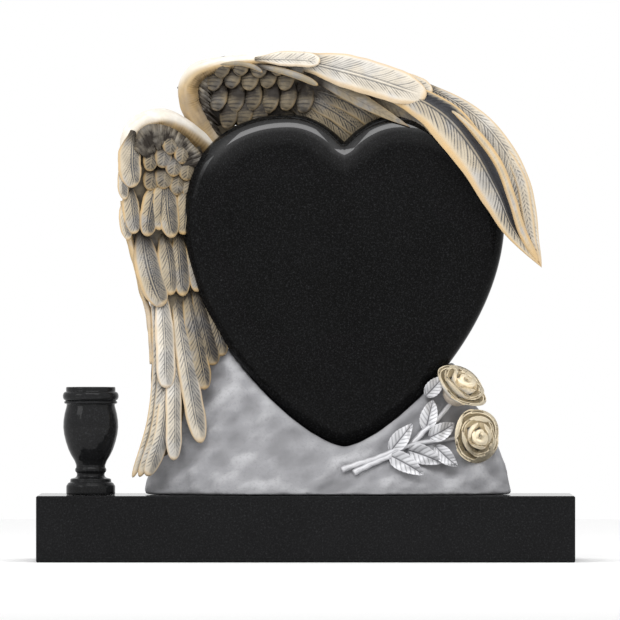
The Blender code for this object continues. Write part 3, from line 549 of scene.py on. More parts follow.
leftWing = {  # places in shares of the heart's height, from its axis and its tip
    "face": (0.30, -0.95, 0.05),
    "edge": -0.022, "outside": 0.66, "slope": 0.150, "lean": 0.055,  # its surface: depth and place of the outer
    # edge, how it runs back from there, and how far it comes forward over the rock
    "arm": [(-0.33, 0.83, 0.066), (-0.367, 0.868, 0.062), (-0.415, 0.905, 0.055), (-0.475, 0.948, 0.042),
            (-0.535, 0.974, 0.026), (-0.589, 0.974, 0.012), (-0.630, 0.948, 0.000), (-0.650, 0.895, -0.008),
            (-0.655, 0.80, -0.012), (-0.645, 0.69, -0.016)],
    "armSize": (0.015, 0.015, 0.016, 0.019, 0.022, 0.021, 0.018, 0.0135, 0.0100, 0.007),
    "armFringe": (0.25, -0.45, -0.85),
    "edgeLine": [(-0.660, 0.74), (-0.652, 0.66), (-0.630, 0.57), (-0.606, 0.47), (-0.585, 0.38),
                 (-0.578, 0.25)],
    "edgeSize": (0.0070, 0.0065, 0.0055, 0.0050, 0.0045, 0.0030),
    "edgeArm": dict(rows=60, around=20, bleach=0.3, fringe=(1, 0, 0)), "edgeLift": 0.002,
    "walls": [  # plain bodies behind the feathers, nearly brown as painted shade: points and width
        ([(-0.553, 0.930), (-0.550, 0.70), (-0.528, 0.45)], 0.200),
        ([(-0.530, 0.62), (-0.518, 0.30), (-0.548, -0.03)], 0.122),
        ([(-0.450, 0.60), (-0.430, 0.42), (-0.400, 0.28)], 0.090),
        ([(-0.462, 0.895), (-0.450, 0.82), (-0.460, 0.68)], 0.078)],
    "wallBlade": dict(camber=0.02, thick=0.012, blunt=0.45, rootWidth=0.75, pitch=0.03, cut=0, stem=0,
                      dark=0.9),
    "wallLift": -0.005,
    "hollow": (-0.545, 0.825), "hollowLift": 0.010, "hairCount": 40, "hairLift": 0.016, "hairReach": 0.78,
    "hairs": [(-0.628, 0.900), (-0.618, 0.945), (-0.589, 0.968), (-0.545, 0.968), (-0.500, 0.949),
              (-0.460, 0.914), (-0.425, 0.876), (-0.408, 0.852)],
    "blade": dict(camber=0.30, thick=0.005, slant=2.0, samples=4.2, across=34, lip=0.15, cut=0.85,
                  halfShade=0.38),
    "step": 0.0015,  # how far each feather stands in front of the one before
    # dark: each feather's painted shade, less where its painted highlight is more
    "rootLift": -0.003, "bend": 0.9, "ribSide": 0.14, "dark": (0.16, 0.2),
    "tiers": {  # lift, settings, and feathers: points, width and painted light, a painted highlight above zero and painted shade below zero
        "long": (0.006, dict(pitch=0.0085, blunt=0.20, rootWidth=0.55, root=0.18), [
            ([(-0.595, 0.600), (-0.570, 0.412), (-0.562, 0.262), (-0.570, 0.130), (-0.592, 0.020),
              (-0.634, -0.090)], 0.030, 0.35),
            ([(-0.560, 0.450), (-0.547, 0.262), (-0.553, 0.130), (-0.573, 0.020), (-0.614, -0.088)],
             0.038, 0.35),
            ([(-0.535, 0.300), (-0.535, 0.130), (-0.552, 0.020), (-0.592, -0.086)], 0.052, 0.50),
            ([(-0.420, 0.500), (-0.392, 0.385), (-0.366, 0.272)], 0.054, -0.5),
            ([(-0.450, 0.490), (-0.420, 0.360), (-0.391, 0.245)], 0.056, -0.6),
            ([(-0.475, 0.470), (-0.447, 0.320), (-0.419, 0.172)], 0.060, -0.3),
            ([(-0.508, 0.460), (-0.470, 0.230), (-0.430, 0.012)], 0.062, 0.45),
            ([(-0.516, 0.330), (-0.512, 0.130), (-0.511, -0.039)], 0.050, 0.60),
            ([(-0.552, 0.490), (-0.538, 0.320), (-0.535, 0.177)], 0.060, 0.65)]),
        "second": (0.011, dict(pitch=0.0075, blunt=0.34, rootWidth=0.55, root=0.42), [
            ([(-0.440, 0.640), (-0.425, 0.56), (-0.415, 0.487)], 0.050, 0.0),
            ([(-0.460, 0.640), (-0.450, 0.56), (-0.442, 0.465)], 0.054, 0.0),
            ([(-0.500, 0.640), (-0.493, 0.55), (-0.484, 0.452)], 0.058, 0.05),
            ([(-0.545, 0.640), (-0.530, 0.55), (-0.522, 0.455)], 0.060, 0.10),
            ([(-0.607, 0.660), (-0.585, 0.527), (-0.543, 0.423)], 0.082, 0.20)]),
        "first": (0.012, dict(pitch=0.0065, blunt=0.34, rootWidth=0.55, root=0.42), [
            ([(-0.445, 0.80), (-0.450, 0.72), (-0.453, 0.640)], 0.052, 0.0),
            ([(-0.475, 0.80), (-0.480, 0.72), (-0.484, 0.637)], 0.056, 0.0),
            ([(-0.560, 0.80), (-0.580, 0.72), (-0.592, 0.632)], 0.062, 0.05),
            ([(-0.545, 0.80), (-0.552, 0.74), (-0.556, 0.650)], 0.052, 0.05),
            ([(-0.530, 0.80), (-0.530, 0.72), (-0.515, 0.628)], 0.066, 0.10)]),
        "outer": (0.012, dict(pitch=0.0065, blunt=0.34, rootWidth=0.3, root=0.42), [
            ([(-0.652, 0.758), (-0.658, 0.689), (-0.646, 0.622)], 0.038, 0.30),
            ([(-0.645, 0.800), (-0.640, 0.713), (-0.628, 0.640)], 0.054, 0.15),
            ([(-0.650, 0.880), (-0.664, 0.803), (-0.656, 0.743)], 0.034, 0.30),
            ([(-0.632, 0.950), (-0.645, 0.860), (-0.630, 0.780)], 0.072, 0.25)]),
    },
    "scales": [  # tip's place and width
        (-0.583, 0.770, 0.054), (-0.469, 0.750, 0.054), (-0.505, 0.756, 0.054), (-0.545, 0.775, 0.062),
        (-0.585, 0.828, 0.050), (-0.475, 0.800, 0.060), (-0.515, 0.812, 0.060), (-0.547, 0.838, 0.056),
        (-0.490, 0.850, 0.056), (-0.525, 0.878, 0.054)],
    "scaleRoot": (0.004, 0.011, 0.036), "scaleLift": 0.008, "scaleStep": 0.0008, "scaleBend": 0.006,
    # the scales are darkened, most at their roots: painted shade under the ones that overlap them
    "scaleBlade": dict(camber=0.35, blunt=0.60, rootWidth=0.75, pitch=0.0048, slant=1.0, stem=0.3, samples=3.5,
                       across=24, dark=0.42, gold=0.8, root=0.6, lip=0.16),
}


def onLeft(across, up, lift=0.0):
    # the left wing's own surface: nearer the front at its outer edge and down over the rock
    w = leftWing
    y = w["edge"] + w["slope"] * (across + w["outside"]) - w["lean"] * float(smoothStep(0.55, -0.08, up))
    return at(across, up, y - lift)


def makeLeftWing():
    # walls first, then the tiers of feathers from the lowest, the small ones over them, and the arm round them
    w = leftWing
    piece = Piece("wing_left_feathers", wingValues)
    armPiece = Piece("wing_left_arm", wingValues)
    for points, width in w["walls"]:
        addFeather(piece, [onLeft(*p, w["wallLift"]) for p in points], width * heartTall, face=w["face"],
                   **w["wallBlade"])
    addArm(armPiece, [onLeft(*p, w["edgeLift"]) for p in w["edgeLine"]], w["edgeSize"], **w["edgeArm"])
    seed = 1
    for lift, settings, feathers in w["tiers"].values():
        for k, (places, width, bleach) in enumerate(feathers):
            more = w["step"] * k
            bent = [onLeft(*p, lift * w["bend"] + more) for p in places[1:-1]]
            points = [onLeft(*places[0], w["rootLift"]), *bent, onLeft(*places[-1], lift + more)]
            # painted shade from the painted highlight, or the whole painted shade of a feather in the dark
            dark = w["dark"][0] - w["dark"][1] * bleach if bleach >= 0 else -bleach
            seed += 1
            addFeather(piece, points, width * heartTall, face=w["face"], bleach=max(bleach, 0), dark=dark,
                       seed=seed, rachis=w["ribSide"] * (-1) ** k, **settings, **w["blade"])
    for k, (across, up, width) in enumerate(w["scales"]):
        tip = onLeft(across, up, w["scaleLift"] + w["scaleStep"] * k)
        root = tip + np.array(w["scaleRoot"])
        middle = (root + tip) / 2 + front * w["scaleBend"]
        addFeather(armPiece, [root, middle, tip], width * heartTall, face=w["face"], seed=40 + k,
                   **w["scaleBlade"])
    hollow = onLeft(*w["hollow"], w["hollowLift"])
    line = np.array([onLeft(*p, w["hairLift"]) for p in w["hairs"]])
    starts = smoothPath(line, np.linspace(0, 1, w["hairCount"]))
    addHairs(armPiece, starts, starts + (hollow - starts) * w["hairReach"], w["face"], 300)
    addArm(armPiece, [at(*p) for p in w["arm"]], w["armSize"], fringe=w["armFringe"])
    makeWingPiece(piece, "wing_left")
    makeWingPiece(armPiece, "wing_left")


rightWing = {  # places in shares of the heart's height, and their depth in metres
    "arm": [(-0.12, 0.40, 0.072), (-0.20, 0.60, 0.068), (-0.30, 0.80, 0.067), (-0.355, 0.875, 0.067),
            (-0.409, 0.938, 0.062), (-0.441, 0.987, 0.055), (-0.463, 1.037, 0.046), (-0.468, 1.085, 0.036),
            (-0.443, 1.125, 0.026), (-0.395, 1.146, 0.018), (-0.328, 1.157, 0.012), (-0.253, 1.163, 0.004),
            (-0.160, 1.163, -0.002), (-0.08, 1.152, -0.004)],
    "armSize": (0.021, 0.018, 0.0165, 0.0165, 0.0175, 0.019, 0.018, 0.0175, 0.016, 0.013, 0.0105, 0.0085,
                0.008, 0.006),
    "armLines": dict(rows=190, fringe=(0.75, -0.35, -0.45)),
    # a plain body behind the small feathers, nearly brown as painted shade
    "wall": [(-0.445, 1.02, 0.060), (-0.24, 1.072, 0.038), (0.16, 0.98, 0.030)], "wallWidth": 0.21,
    "wallBlade": dict(camber=-0.06, thick=0.014, blunt=0.4, rootWidth=0.8, pitch=0.03, cut=0, stem=0,
                      dark=0.95),
    "scaleRows": [  # tips' first and last place, their height, count, depth and length
        (-0.360, -0.270, 0.958, 3, 0.024, 0.082), (-0.392, -0.132, 1.004, 6, 0.022, 0.088),
        (-0.404, -0.189, 1.073, 5, 0.014, 0.074), (-0.384, -0.158, 1.114, 5, 0.004, 0.050)],
    "scaleWidth": 0.062, "sweep": (0.064, -0.2), "stagger": 0.008,  # how the rows run back past -0.2
    "scaleRoot": (0.012, 0.006), "scaleBend": (0.004, -0.004, 0),
    # the cups are darkened, most at their roots: painted shade inside them and under their neighbours
    "scaleBlade": dict(face=(-0.42, -0.90, 0.05), camber=0.45, blunt=0.55, rootWidth=0.8, pitch=0.0050,
                       slant=-0.35, stem=0.0, rachis=0.75, barb=0.0011, samples=3.4, across=22, dark=0.72,
                       gold=0.45, root=0.65, lip=0.10, cut=0.8),
    "inner": [  # root, middle, tip, width, dark as painted shade
        ((-0.165, 1.030, 0.030), (-0.075, 0.985, 0.026), (0.002, 0.905, 0.032), 0.066, 0.25),
        ((-0.160, 1.045, 0.028), (-0.060, 1.000, 0.024), (0.030, 0.918, 0.029), 0.066, 0.28),
        ((-0.155, 1.062, 0.026), (-0.040, 1.018, 0.020), (0.065, 0.938, 0.025), 0.066, 0.34),
        ((-0.145, 1.080, 0.024), (0.000, 1.045, 0.016), (0.118, 0.960, 0.018), 0.068, 0.42),
        ((-0.120, 1.098, 0.020), (0.040, 1.062, 0.010), (0.178, 0.972, 0.008), 0.068, 0.52)],
    "innerBlade": dict(camber=0.15, pitch=0.0075, blunt=0.2, gold=0.5, samples=4, root=0.5, slant=2.0),
    "hairs": [(-0.425, 1.125), (-0.437, 1.080), (-0.432, 1.030), (-0.410, 0.980), (-0.372, 0.930),
              (-0.345, 0.900)],
    "hairCount": 22, "hairEnd": (0.030, -0.004, -0.026), "hairFace": (-0.4, -0.9, 0.1),
    "hairDepth": (0.030, 0.20, 1.10),  # the depth, how fast it grows downwards, and from what height
    # in each blade's settings, dark is a painted shade and the lighter value a painted highlight
    "blades": {  # points along each, width, settings
        "rim": ([(-0.430, 1.140, 0.014), (-0.315, 1.152, 0.002), (-0.245, 1.124, -0.004)], 0.015,
                dict(pitch=0.02, cut=0, stem=0.0, gold=0.9, camber=0.5, dark=0.35)),
        "inArm": ([(-0.415, 1.010, 0.060), (-0.380, 0.955, 0.062), (-0.325, 0.890, 0.060)], 0.095,
                  dict(pitch=0.02, cut=0, stem=0.0, gold=0.2, camber=0.1, dark=0.7)),
        "shadow": ([(0.050, 1.060, 0.004), (0.165, 1.020, -0.010), (0.275, 0.940, -0.030)], 0.080,
                   dict(pitch=0.010, cut=0.4, stem=0.3, gold=0.4, camber=0.15, dark=0.50, point=0.5)),
        "under": ([(-0.283, 1.150, 0.004), (-0.162, 1.122, -0.010), (-0.078, 1.085, -0.016)], 0.021,
                  dict(pitch=0.02, cut=0, stem=0.0, gold=0.9, camber=0.5, dark=0.30)),
        "underLong": ([(-0.100, 1.128, 0.000), (0.048, 1.042, -0.016), (0.198, 0.960, -0.032)], 0.046,
                      dict(pitch=0.012, cut=0.25, stem=0.4, gold=0.5, camber=0.25, dark=0.42, point=1.0,
                           blunt=0.6, rootWidth=0.9)),
        "outer": ([(0.240, 1.075, -0.022), (0.310, 1.040, -0.030), (0.394, 0.980, -0.036),
                   (0.462, 0.900, -0.041), (0.512, 0.810, -0.044), (0.540, 0.722, -0.048),
                   (0.562, 0.625, -0.053), (0.590, 0.541, -0.056)], 0.076,
                  dict(pitch=0.0080, bleach=0.50, rachis=-0.30, blunt=0.40, lip=0.12, point=0.8, root=0.1,
                       across=60, samples=4.5)),
        "third": ([(0.430, 0.955, -0.034), (0.488, 0.880, -0.044), (0.530, 0.795, -0.050),
                   (0.547, 0.705, -0.054), (0.562, 0.620, -0.058), (0.591, 0.541, -0.060)], 0.036,
                  dict(pitch=0.0080, bleach=0.40, rachis=0.0, stem=0.3, blunt=0.40, lip=0.30, point=0.8,
                       root=0.1)),
        "front": ([(0.105, 1.088, -0.020), (0.212, 1.040, -0.040), (0.299, 0.980, -0.056),
                   (0.384, 0.875, -0.065), (0.454, 0.750, -0.069), (0.502, 0.650, -0.066),
                   (0.592, 0.538, -0.062)], 0.118,
                  dict(pitch=0.0092, bleach=0.25, rachis=-0.22, blunt=0.60, lip=0.08, wideLip=0.20,
                       camber=0.14, trough=0.007, darkSide=-0.56, barb=0.0013, slant=2.0, gold=0.95,
                       across=84, samples=4.5, point=1.0, root=0.10)),
        "fold": ([(0.262, 1.052, -0.034), (0.330, 1.004, -0.050), (0.398, 0.937, -0.060),
                  (0.462, 0.848, -0.066), (0.502, 0.743, -0.069), (0.533, 0.645, -0.067),
                  (0.580, 0.555, -0.063)], 0.026,
                 dict(pitch=0.0060, bleach=0.20, rachis=-0.9, stem=0.0, cut=0.5, blunt=0.15, lip=0.55,
                      camber=0.50, barb=0.0005, gold=0.95, root=0.05, across=20)),
        "beyond": ([(0.078, 1.122, -0.010), (0.174, 1.094, -0.026), (0.264, 1.062, -0.036)], 0.066,
                   dict(pitch=0.0065, bleach=0.55)),
        "broad": ([(-0.130, 1.160, 0.000), (0.055, 1.115, -0.030), (0.246, 1.050, -0.044)], 0.104,
                  dict(pitch=0.0065, bleach=0.60, rachis=0.05, blunt=0.30, lip=0.10, wideLip=0.14,
                       camber=0.20, across=88, samples=4.5, slant=1.9, rootWidth=0.55, root=0.12, gold=0.9)),
        "crest": ([(-0.270, 1.165, -0.002), (-0.162, 1.166, -0.014), (-0.072, 1.158, -0.020)], 0.046,
                  dict(pitch=0.0065, bleach=0.75, blunt=0.25, lip=0.12, wideLip=0.15, root=0.1,
                       rootWidth=0.3)),
    },
}


def makeRightWing():
    # the wall, a dark body of painted shade, the rows of small feathers and the short inner ones darkened as
    # painted shadow, then the long blades in front
    w = rightWing
    piece = Piece("wing_right_feathers", wingValues)
    armPiece = Piece("wing_right_arm", wingValues)
    addFeather(armPiece, [at(*p) for p in w["wall"]], w["wallWidth"] * heartTall, **w["wallBlade"])
    for row, (first, last, up, count, depth, reach) in enumerate(w["scaleRows"]):
        for k in range(count):
            across = last + (first - last) * k / (count - 1)
            deep = depth + w["sweep"][0] * max(0.0, w["sweep"][1] - across)
            tip = at(across, up + w["stagger"] * (k % 2), deep)
            root = at(across + w["scaleRoot"][0], up + reach, deep + w["scaleRoot"][1])
            middle = (root + tip) / 2 + np.array(w["scaleBend"])
            addFeather(armPiece, [root, middle, tip], w["scaleWidth"] * heartTall, seed=70 + 7 * row + k,
                       **w["scaleBlade"])
    for k, (root, mid, tip, width, dark) in enumerate(w["inner"]):
        addFeather(armPiece, [at(*root), at(*mid), at(*tip)], width * heartTall, dark=dark, seed=110 + k,
                   **w["innerBlade"])
    for k, (points, width, settings) in enumerate(w["blades"].values()):
        addFeather(piece, [at(*p) for p in points], width * heartTall, seed=130 + k, **settings)
    near, grow, below = w["hairDepth"]
    line = np.array([at(across, up, near + grow * max(0.0, below - up)) for across, up in w["hairs"]])
    starts = smoothPath(line, np.linspace(0, 1, w["hairCount"]))
    addHairs(armPiece, starts, starts + np.array(w["hairEnd"]), w["hairFace"], 500)
    addArm(armPiece, [at(*p) for p in w["arm"]], w["armSize"], **w["armLines"])
    makeWingPiece(piece, "wing_right")
    makeWingPiece(armPiece, "wing_right")


makeLeftWing()
makeRightWing()
print("wings made")


# the heart


heartLook = {
    "round": 0.030, "backRound": 0.010,  # the front and back edges' radius
    "widest": 0.69, "lobe": 0.352, "notch": 0.917,  # shares of the height and of the half width
    "count": 150,  # points on half the outline
    "band": 0.019, "bandWidth": 0.010,  # the painted highlight band's place and width, inwards from the outline
}


def bezier(a, b, c, d, count):
    # a cubic curve from a to d that leaves towards b and arrives from c
    t = np.linspace(0, 1, count)[:, None]
    return a * (1 - t) ** 3 + b * 3 * t * (1 - t) ** 2 + c * 3 * t * t * (1 - t) + d * t**3


def resample(line, count):
    # points at even distances along a line
    far = np.concatenate([[0], np.cumsum(np.linalg.norm(np.diff(line, axis=0), axis=1))])
    want = np.linspace(0, far[-1], count)
    return np.stack([np.interp(want, far, line[:, k]) for k in range(line.shape[1])], axis=1)


def heartRing(inset):
    # closed outline moved inwards: the right half is three Bezier curves, offset along their normals, cut where
    # they cross the axis, and mirrored
    look = heartLook
    size = np.array([heartHalf, heartTall])
    wide = np.array([1, look["widest"]])
    lobe = np.array([look["lobe"], 1])
    notch = np.array([0, look["notch"]])
    parts = [bezier(np.zeros(2), np.array([0.276, 0.018]), wide - [0, 0.351], wide, 200),
             bezier(wide, wide + [0, 0.211], lobe + [0.34, 0], lobe, 120)[1:],
             bezier(lobe, lobe - [0.155, 0], notch + [0.082, 0.043], notch, 80)[1:]]
    line = np.vstack(parts) * size
    along = unit(np.gradient(line, axis=0))
    line = line + np.stack([-along[:, 1], along[:, 0]], axis=1) * inset
    middle = len(line) // 2
    low = np.argmax(line[:middle, 0] > 0)
    high = middle + np.argmax(line[middle:, 0] <= 0) if (line[middle:, 0] <= 0).any() else len(line)
    line = line[low:high]
    line = np.vstack([[0, line[0, 1]], line, [0, line[-1, 1] - max(line[-1, 0], 0) * 0.55]])
    half = resample(line, look["count"])
    return np.vstack([half, half[1:-1][::-1] * [-1, 1]])


def makeHeart():
    # rings of the outline from the front face over both rounded edges to the back face; a ring on an edge of
    # radius r stands r (1 - sin a) behind the face and r (1 - cos a) inside the outline
    look = heartLook
    half = heartThick / 2
    big, small = look["round"], look["backRound"]
    steps = np.linspace(0, math.pi / 2, 14)
    inner = [(-half, big * k) for k in (2.6, 1.8)]
    frontEdge = [(-half + big * (1 - math.sin(a)), big * (1 - math.cos(a))) for a in steps[::-1]]
    backEdge = [(half - small * (1 - math.sin(a)), small * (1 - math.cos(a))) for a in steps[::2]]
    profile = inner + frontEdge + backEdge + [(half, small * k) for k in (2.5, 4.0)]
    rings = []
    for depth, inset in profile:
        flat = heartRing(inset)
        rings.append(np.stack([heartAxis + flat[:, 0], np.full(len(flat), heartMiddle + depth),
                               heartTip + flat[:, 1]], axis=1))
    rings = np.array(rings)
    # the painted highlight band: a clear coat strongest a little way in from the outline, where the rounded
    # edge faces up
    insets = np.array([inset for _, inset in profile])[:, None]
    around = unit(np.gradient(rings[len(inner)], axis=0))
    upper = rings[len(inner), :, 2] > heartTip + look["widest"] * heartTall
    up = smoothStep(0.30, 0.85, np.abs(around[:, 0])) * upper
    faced = np.array([depth < 0 for depth, _ in profile])[:, None]
    edge = np.exp(-(((insets - look["band"]) / look["bandWidth"]) ** 2)) * up[None, :] * faced
    piece = Piece("heart_polished", ("edge",))
    piece.add(rings, rings[0].mean(axis=0), rings[-1].mean(axis=0), edge=edge)
    obj = piece.make(granite)
    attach(obj, "root")
    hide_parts("heart")


# the rock


rockFine = {
    "voxel": 0.0042, "smooth": 12,
    "lumps": ((0.080, 0.0052, 1), (0.036, 0.0032, 2), (0.014, 0.0007, 3)),  # size, height and seed
    "baseFade": 0.012, "heartFade": (0.002, 0.026), "sides": 0.2,  # where the lumps are low
    # contrast: how strongly the lumps' height paints shade and highlight on the rock
    "contrast": 1.6, "clearance": 0.0003,
}


def makeRock():
    # the rock's solid made into an even skin, smoothed, and raised along its normals by three sizes of lumps
    look = rockFine
    obj = bpy.data.objects.new("rock_dressed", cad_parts["rock"].data.copy())
    bpy.context.scene.collection.objects.link(obj)
    remesh = obj.modifiers.new("skin", "REMESH")
    remesh.mode = "VOXEL"
    remesh.voxel_size = look["voxel"]
    smooth = obj.modifiers.new("smooth", "SMOOTH")
    smooth.iterations = look["smooth"]
    graph = bpy.context.evaluated_depsgraph_get()
    skin = bpy.data.meshes.new_from_object(obj.evaluated_get(graph))
    obj.modifiers.clear()
    count = len(skin.vertices)
    place = np.empty(count * 3)
    normal = np.empty(count * 3)
    skin.vertices.foreach_get("co", place)
    skin.vertices.foreach_get("normal", normal)
    place = place.reshape(-1, 3)
    normal = normal.reshape(-1, 3)
    # the lumps fade at the base, along the heart's outline and on the sides
    clear = smoothStep(0.0, look["baseFade"], place[:, 2] - baseTop)
    away = np.full(count, 1.0)
    for x, z in heartRing(0.0)[::3] + [heartAxis, heartTip]:
        away = np.minimum(away, (place[:, 0] - x) ** 2 + (place[:, 2] - z) ** 2)
    sides = look["sides"] + (1 - look["sides"]) * np.abs(normal[:, 1])
    clear = clear * smoothStep(*look["heartFade"], np.sqrt(away)) * sides
    lump = np.zeros(count)
    for size, tall, seed in look["lumps"]:
        swell = waves(place, size, seed)
        lump += swell * tall
        place = place + normal * (swell * tall * clear)[:, None]
    lump = lump / sum(tall for _, tall, _ in look["lumps"]) * look["contrast"]
    place[:, 2] = np.maximum(place[:, 2], baseTop + look["clearance"])
    skin.vertices.foreach_set("co", place.ravel())
    skin.polygons.foreach_set("use_smooth", np.ones(len(skin.polygons), bool))
    # the lumps' height is kept for the rock's painted shade and painted highlight
    layer = skin.attributes.new("lump", "FLOAT", "POINT")
    layer.data.foreach_set("value", lump.astype(np.float32))
    skin.update()
    obj.data = skin
    skin.materials.clear()
    skin.materials.append(stone)
    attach(obj, "root")
    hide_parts("rock")
    return obj


# the rose spray


sprayFine = {  # places in shares of the heart's height
    "stem": 0.0047, "stemLift": 1.7, "leafLift": (0.006, 0.014),
    "stems": [[(-0.008, -0.066), (0.045, -0.047), (0.089, -0.034), (0.137, -0.015), (0.22, 0.012),
               (0.36, 0.03)],
              [(0.027, -0.075), (0.078, -0.050), (0.132, -0.027), (0.155, -0.012)],
              [(0.20, 0.006), (0.235, 0.045), (0.270, 0.075), (0.335, 0.150)]],
    "leaves": [  # root, tip, width
        ((0.137, -0.012), (0.202, 0.069), 0.058), ((0.190, -0.008), (0.290, -0.046), 0.066),
        ((0.137, -0.024), (0.238, -0.082), 0.062), ((0.243, 0.050), (0.266, 0.142), 0.058),
        ((0.255, 0.030), (0.330, 0.072), 0.058), ((0.275, 0.002), (0.338, -0.055), 0.052),
        ((0.245, 0.155), (0.300, 0.215), 0.052)],
    "roses": [  # place, depth off the rock, axis, radius
        ((0.390, 0.033), 0.030, (0.56, -0.83, 0.05), 0.0345),
        ((0.347, 0.178), 0.023, (0.52, -0.50, 0.69), 0.0370)],
    "petalUp": 22, "petalAcross": 26,  # points
    "petalThick": (0.0013, 0.04),  # half thickness, and what each metre of radius adds
    "bud": 3, "whorls": (  # count, radius, height, flare, turn
        (3, 0.58, 1.18, 0.03, 0.4), (3, 0.82, 1.04, 0.12, 1.5), (3, 1.06, 0.84, 0.20, 2.9)),
    "leafRows": 70, "leafAcross": 30, "veins": 7, "teeth": 9,
}


def onRock(across, up, off):
    # a point in front of the rock's skin, where a line from the front meets it
    start = at(across, up, -1.0)
    hit, place, _, _ = rockObject.ray_cast(Vector(start), Vector((0, 1, 0)))
    y = place.y if hit else heartMiddle
    return np.array([start[0], y - off, start[2]])


def addPetal(piece, centre, turn, radius, tall, start, half, flare, seed, curlBack=0.3):
    # a cupped sheet round the rose's axis, t up it and s across it: its radius grows as the sine of t, plus a
    # flare of t cubed, and its height as t less a fall to the sides, with a wave, rolled back past 0.82; both
    # faces close on a thin edge
    look = sprayFine
    t = np.linspace(0, 1, look["petalUp"])[:, None]
    s = np.linspace(-1, 1, look["petalAcross"])[None, :]
    draw = np.random.RandomState(seed)
    wave = 0.04 * np.sin(s * 3 + draw.uniform(0, 6)) + 0.015 * np.sin(s * 6 + draw.uniform(0, 6))
    angle = start + s * half * (0.50 + 0.50 * np.sin(np.clip(t, 0, 0.9) * math.pi * 0.62))
    r = radius * (0.28 + 0.72 * np.sin(t * math.pi / 2) ** 0.9) + flare * t**3 * (1 + wave * 4)
    z = tall * (t * (1 - 0.20 * s * s * t) + wave * t**2 * 0.7 - curlBack * np.maximum(t - 0.82, 0) ** 2 * 9)
    thick = (look["petalThick"][0] + look["petalThick"][1] * radius) * (1.25 - 0.4 * t) * (1 - 0.7 * s**8)
    shells = []
    for side in (1, -1):
        flat = np.stack([np.cos(angle) * (r + side * thick), np.sin(angle) * (r + side * thick),
                         z + 0 * angle + 0 * thick], axis=-1)
        shells.append(centre + flat @ turn.T)
    rings = np.concatenate([shells[0], shells[1][:, ::-1]], axis=1)
    rim = smoothStep(0.72, 0.97, t) + 0 * s
    rise = 0.15 + 0.85 * smoothStep(0.05, 0.85, t) + 0.10 * np.sin(s * 30 + 3 * np.sin(t * 9)) * t
    rim = np.concatenate([rim, rim[:, ::-1]], 1)
    rise = np.clip(np.concatenate([rise, rise[:, ::-1] * 0.85], 1), 0, 1)
    piece.add(rings, rings[0].mean(axis=0), rings[-1].mean(axis=0), rim=rim, rise=rise)


def axes(way):
    # a rotation whose third column is the rose's axis
    way = unit(np.array(way, float))
    side = unit(np.cross([0, 0, 1.0], way))
    return np.stack([side, np.cross(way, side), way], axis=1)


def addRose(piece, centre, way, radius, seed):
    # a calyx, which is a flattened ball, then a rolled bud and three whorls of petals in front of it
    look = sprayFine
    turn = axes(way)
    ahead = turn[:, 2]
    back = centre - ahead * radius * 0.55
    phi = np.linspace(0.08, math.pi - 0.08, 20)[:, None]
    a = np.linspace(0, 2 * math.pi, 40, endpoint=False)[None, :]
    ball = np.stack([np.sin(phi) * np.cos(a), np.sin(phi) * np.sin(a), np.cos(phi) * 0.75 + 0 * a], -1)
    ball = back + ahead * radius * 0.1 + (ball * radius * 0.60) @ turn.T
    piece.add(ball, back + ahead * radius * 0.55, back - ahead * radius * 0.35, rise=0.35, rim=0.0)
    for k in range(look["bud"]):
        addPetal(piece, back, turn, radius * (0.14 + 0.14 * k), radius * (1.15 + 0.01 * k), 2.3 * k, 2.3, 0.0,
                 seed + k, 0)
    for count, size, tall, flare, phase in look["whorls"]:
        for i in range(count):
            start = phase + 2 * math.pi * i / count
            addPetal(piece, back, turn, radius * size, radius * tall, start, math.pi / count * 1.3,
                     radius * flare, seed + 10 * count + i)


def addLeaf(piece, root, tip, width, seed, curve=0.010):
    # a pointed leaf, t along it and s across it: half width = sine of pi t^0.8, with saw teeth at the edge; it
    # is folded along its middle, with a bell-shaped groove for the middle vein and cosine ones at its sides
    look = sprayFine
    middle = (root + tip) / 2 + front * curve + np.array([0, 0, 0.002 * math.sin(seed)])
    t, line, along, length = bladePath([root, middle, tip], look["leafRows"] + 2)
    side = unit(np.cross(along, front))
    out = np.cross(side, along)
    shape = np.sin(math.pi * t**0.80) ** 0.75 * (1 - 0.25 * t)
    reach = t[1:-1, None]
    half = (width / 2 * shape)[1:-1, None]
    s = np.linspace(-1, 1, look["leafAcross"])[None, :]
    teeth = 1 + 0.07 * (((reach * look["teeth"]) % 1.0) - 0.5) * smoothStep(0.6, 1.0, np.abs(s))
    vein = np.exp(-(s / 0.07) ** 2)
    turns = reach * look["veins"] - 1.6 * np.abs(s) * half / half.max()
    sides = (0.5 + 0.5 * np.cos(2 * math.pi * turns)) ** 5
    sides = sides * smoothStep(0.06, 0.2, np.abs(s)) * (1 - smoothStep(0.85, 1.0, np.abs(s)))
    fold = half * 0.30 * np.abs(s) + 0.0012 * np.sin(reach * 11 + s * 3 + seed)
    top = fold - 0.0008 * vein - 0.0006 * sides + 0.0012
    spread = (s * half * teeth)[..., None]
    upper = line[1:-1, None] + side[1:-1, None] * spread + out[1:-1, None] * top[..., None]
    lower = line[1:-1, None] + side[1:-1, None] * spread * 0.98 + out[1:-1, None] * (fold - 0.0016)[..., None]
    rings = np.concatenate([upper, lower[:, ::-1]], axis=1)
    rise = np.clip(1 - 0.8 * vein - 0.55 * sides - 0.35 * (1 - np.abs(s)) ** 2, 0, 1)
    piece.add(rings, line[0], line[-1], rise=np.concatenate([rise, 0.5 + 0 * rise], 1))


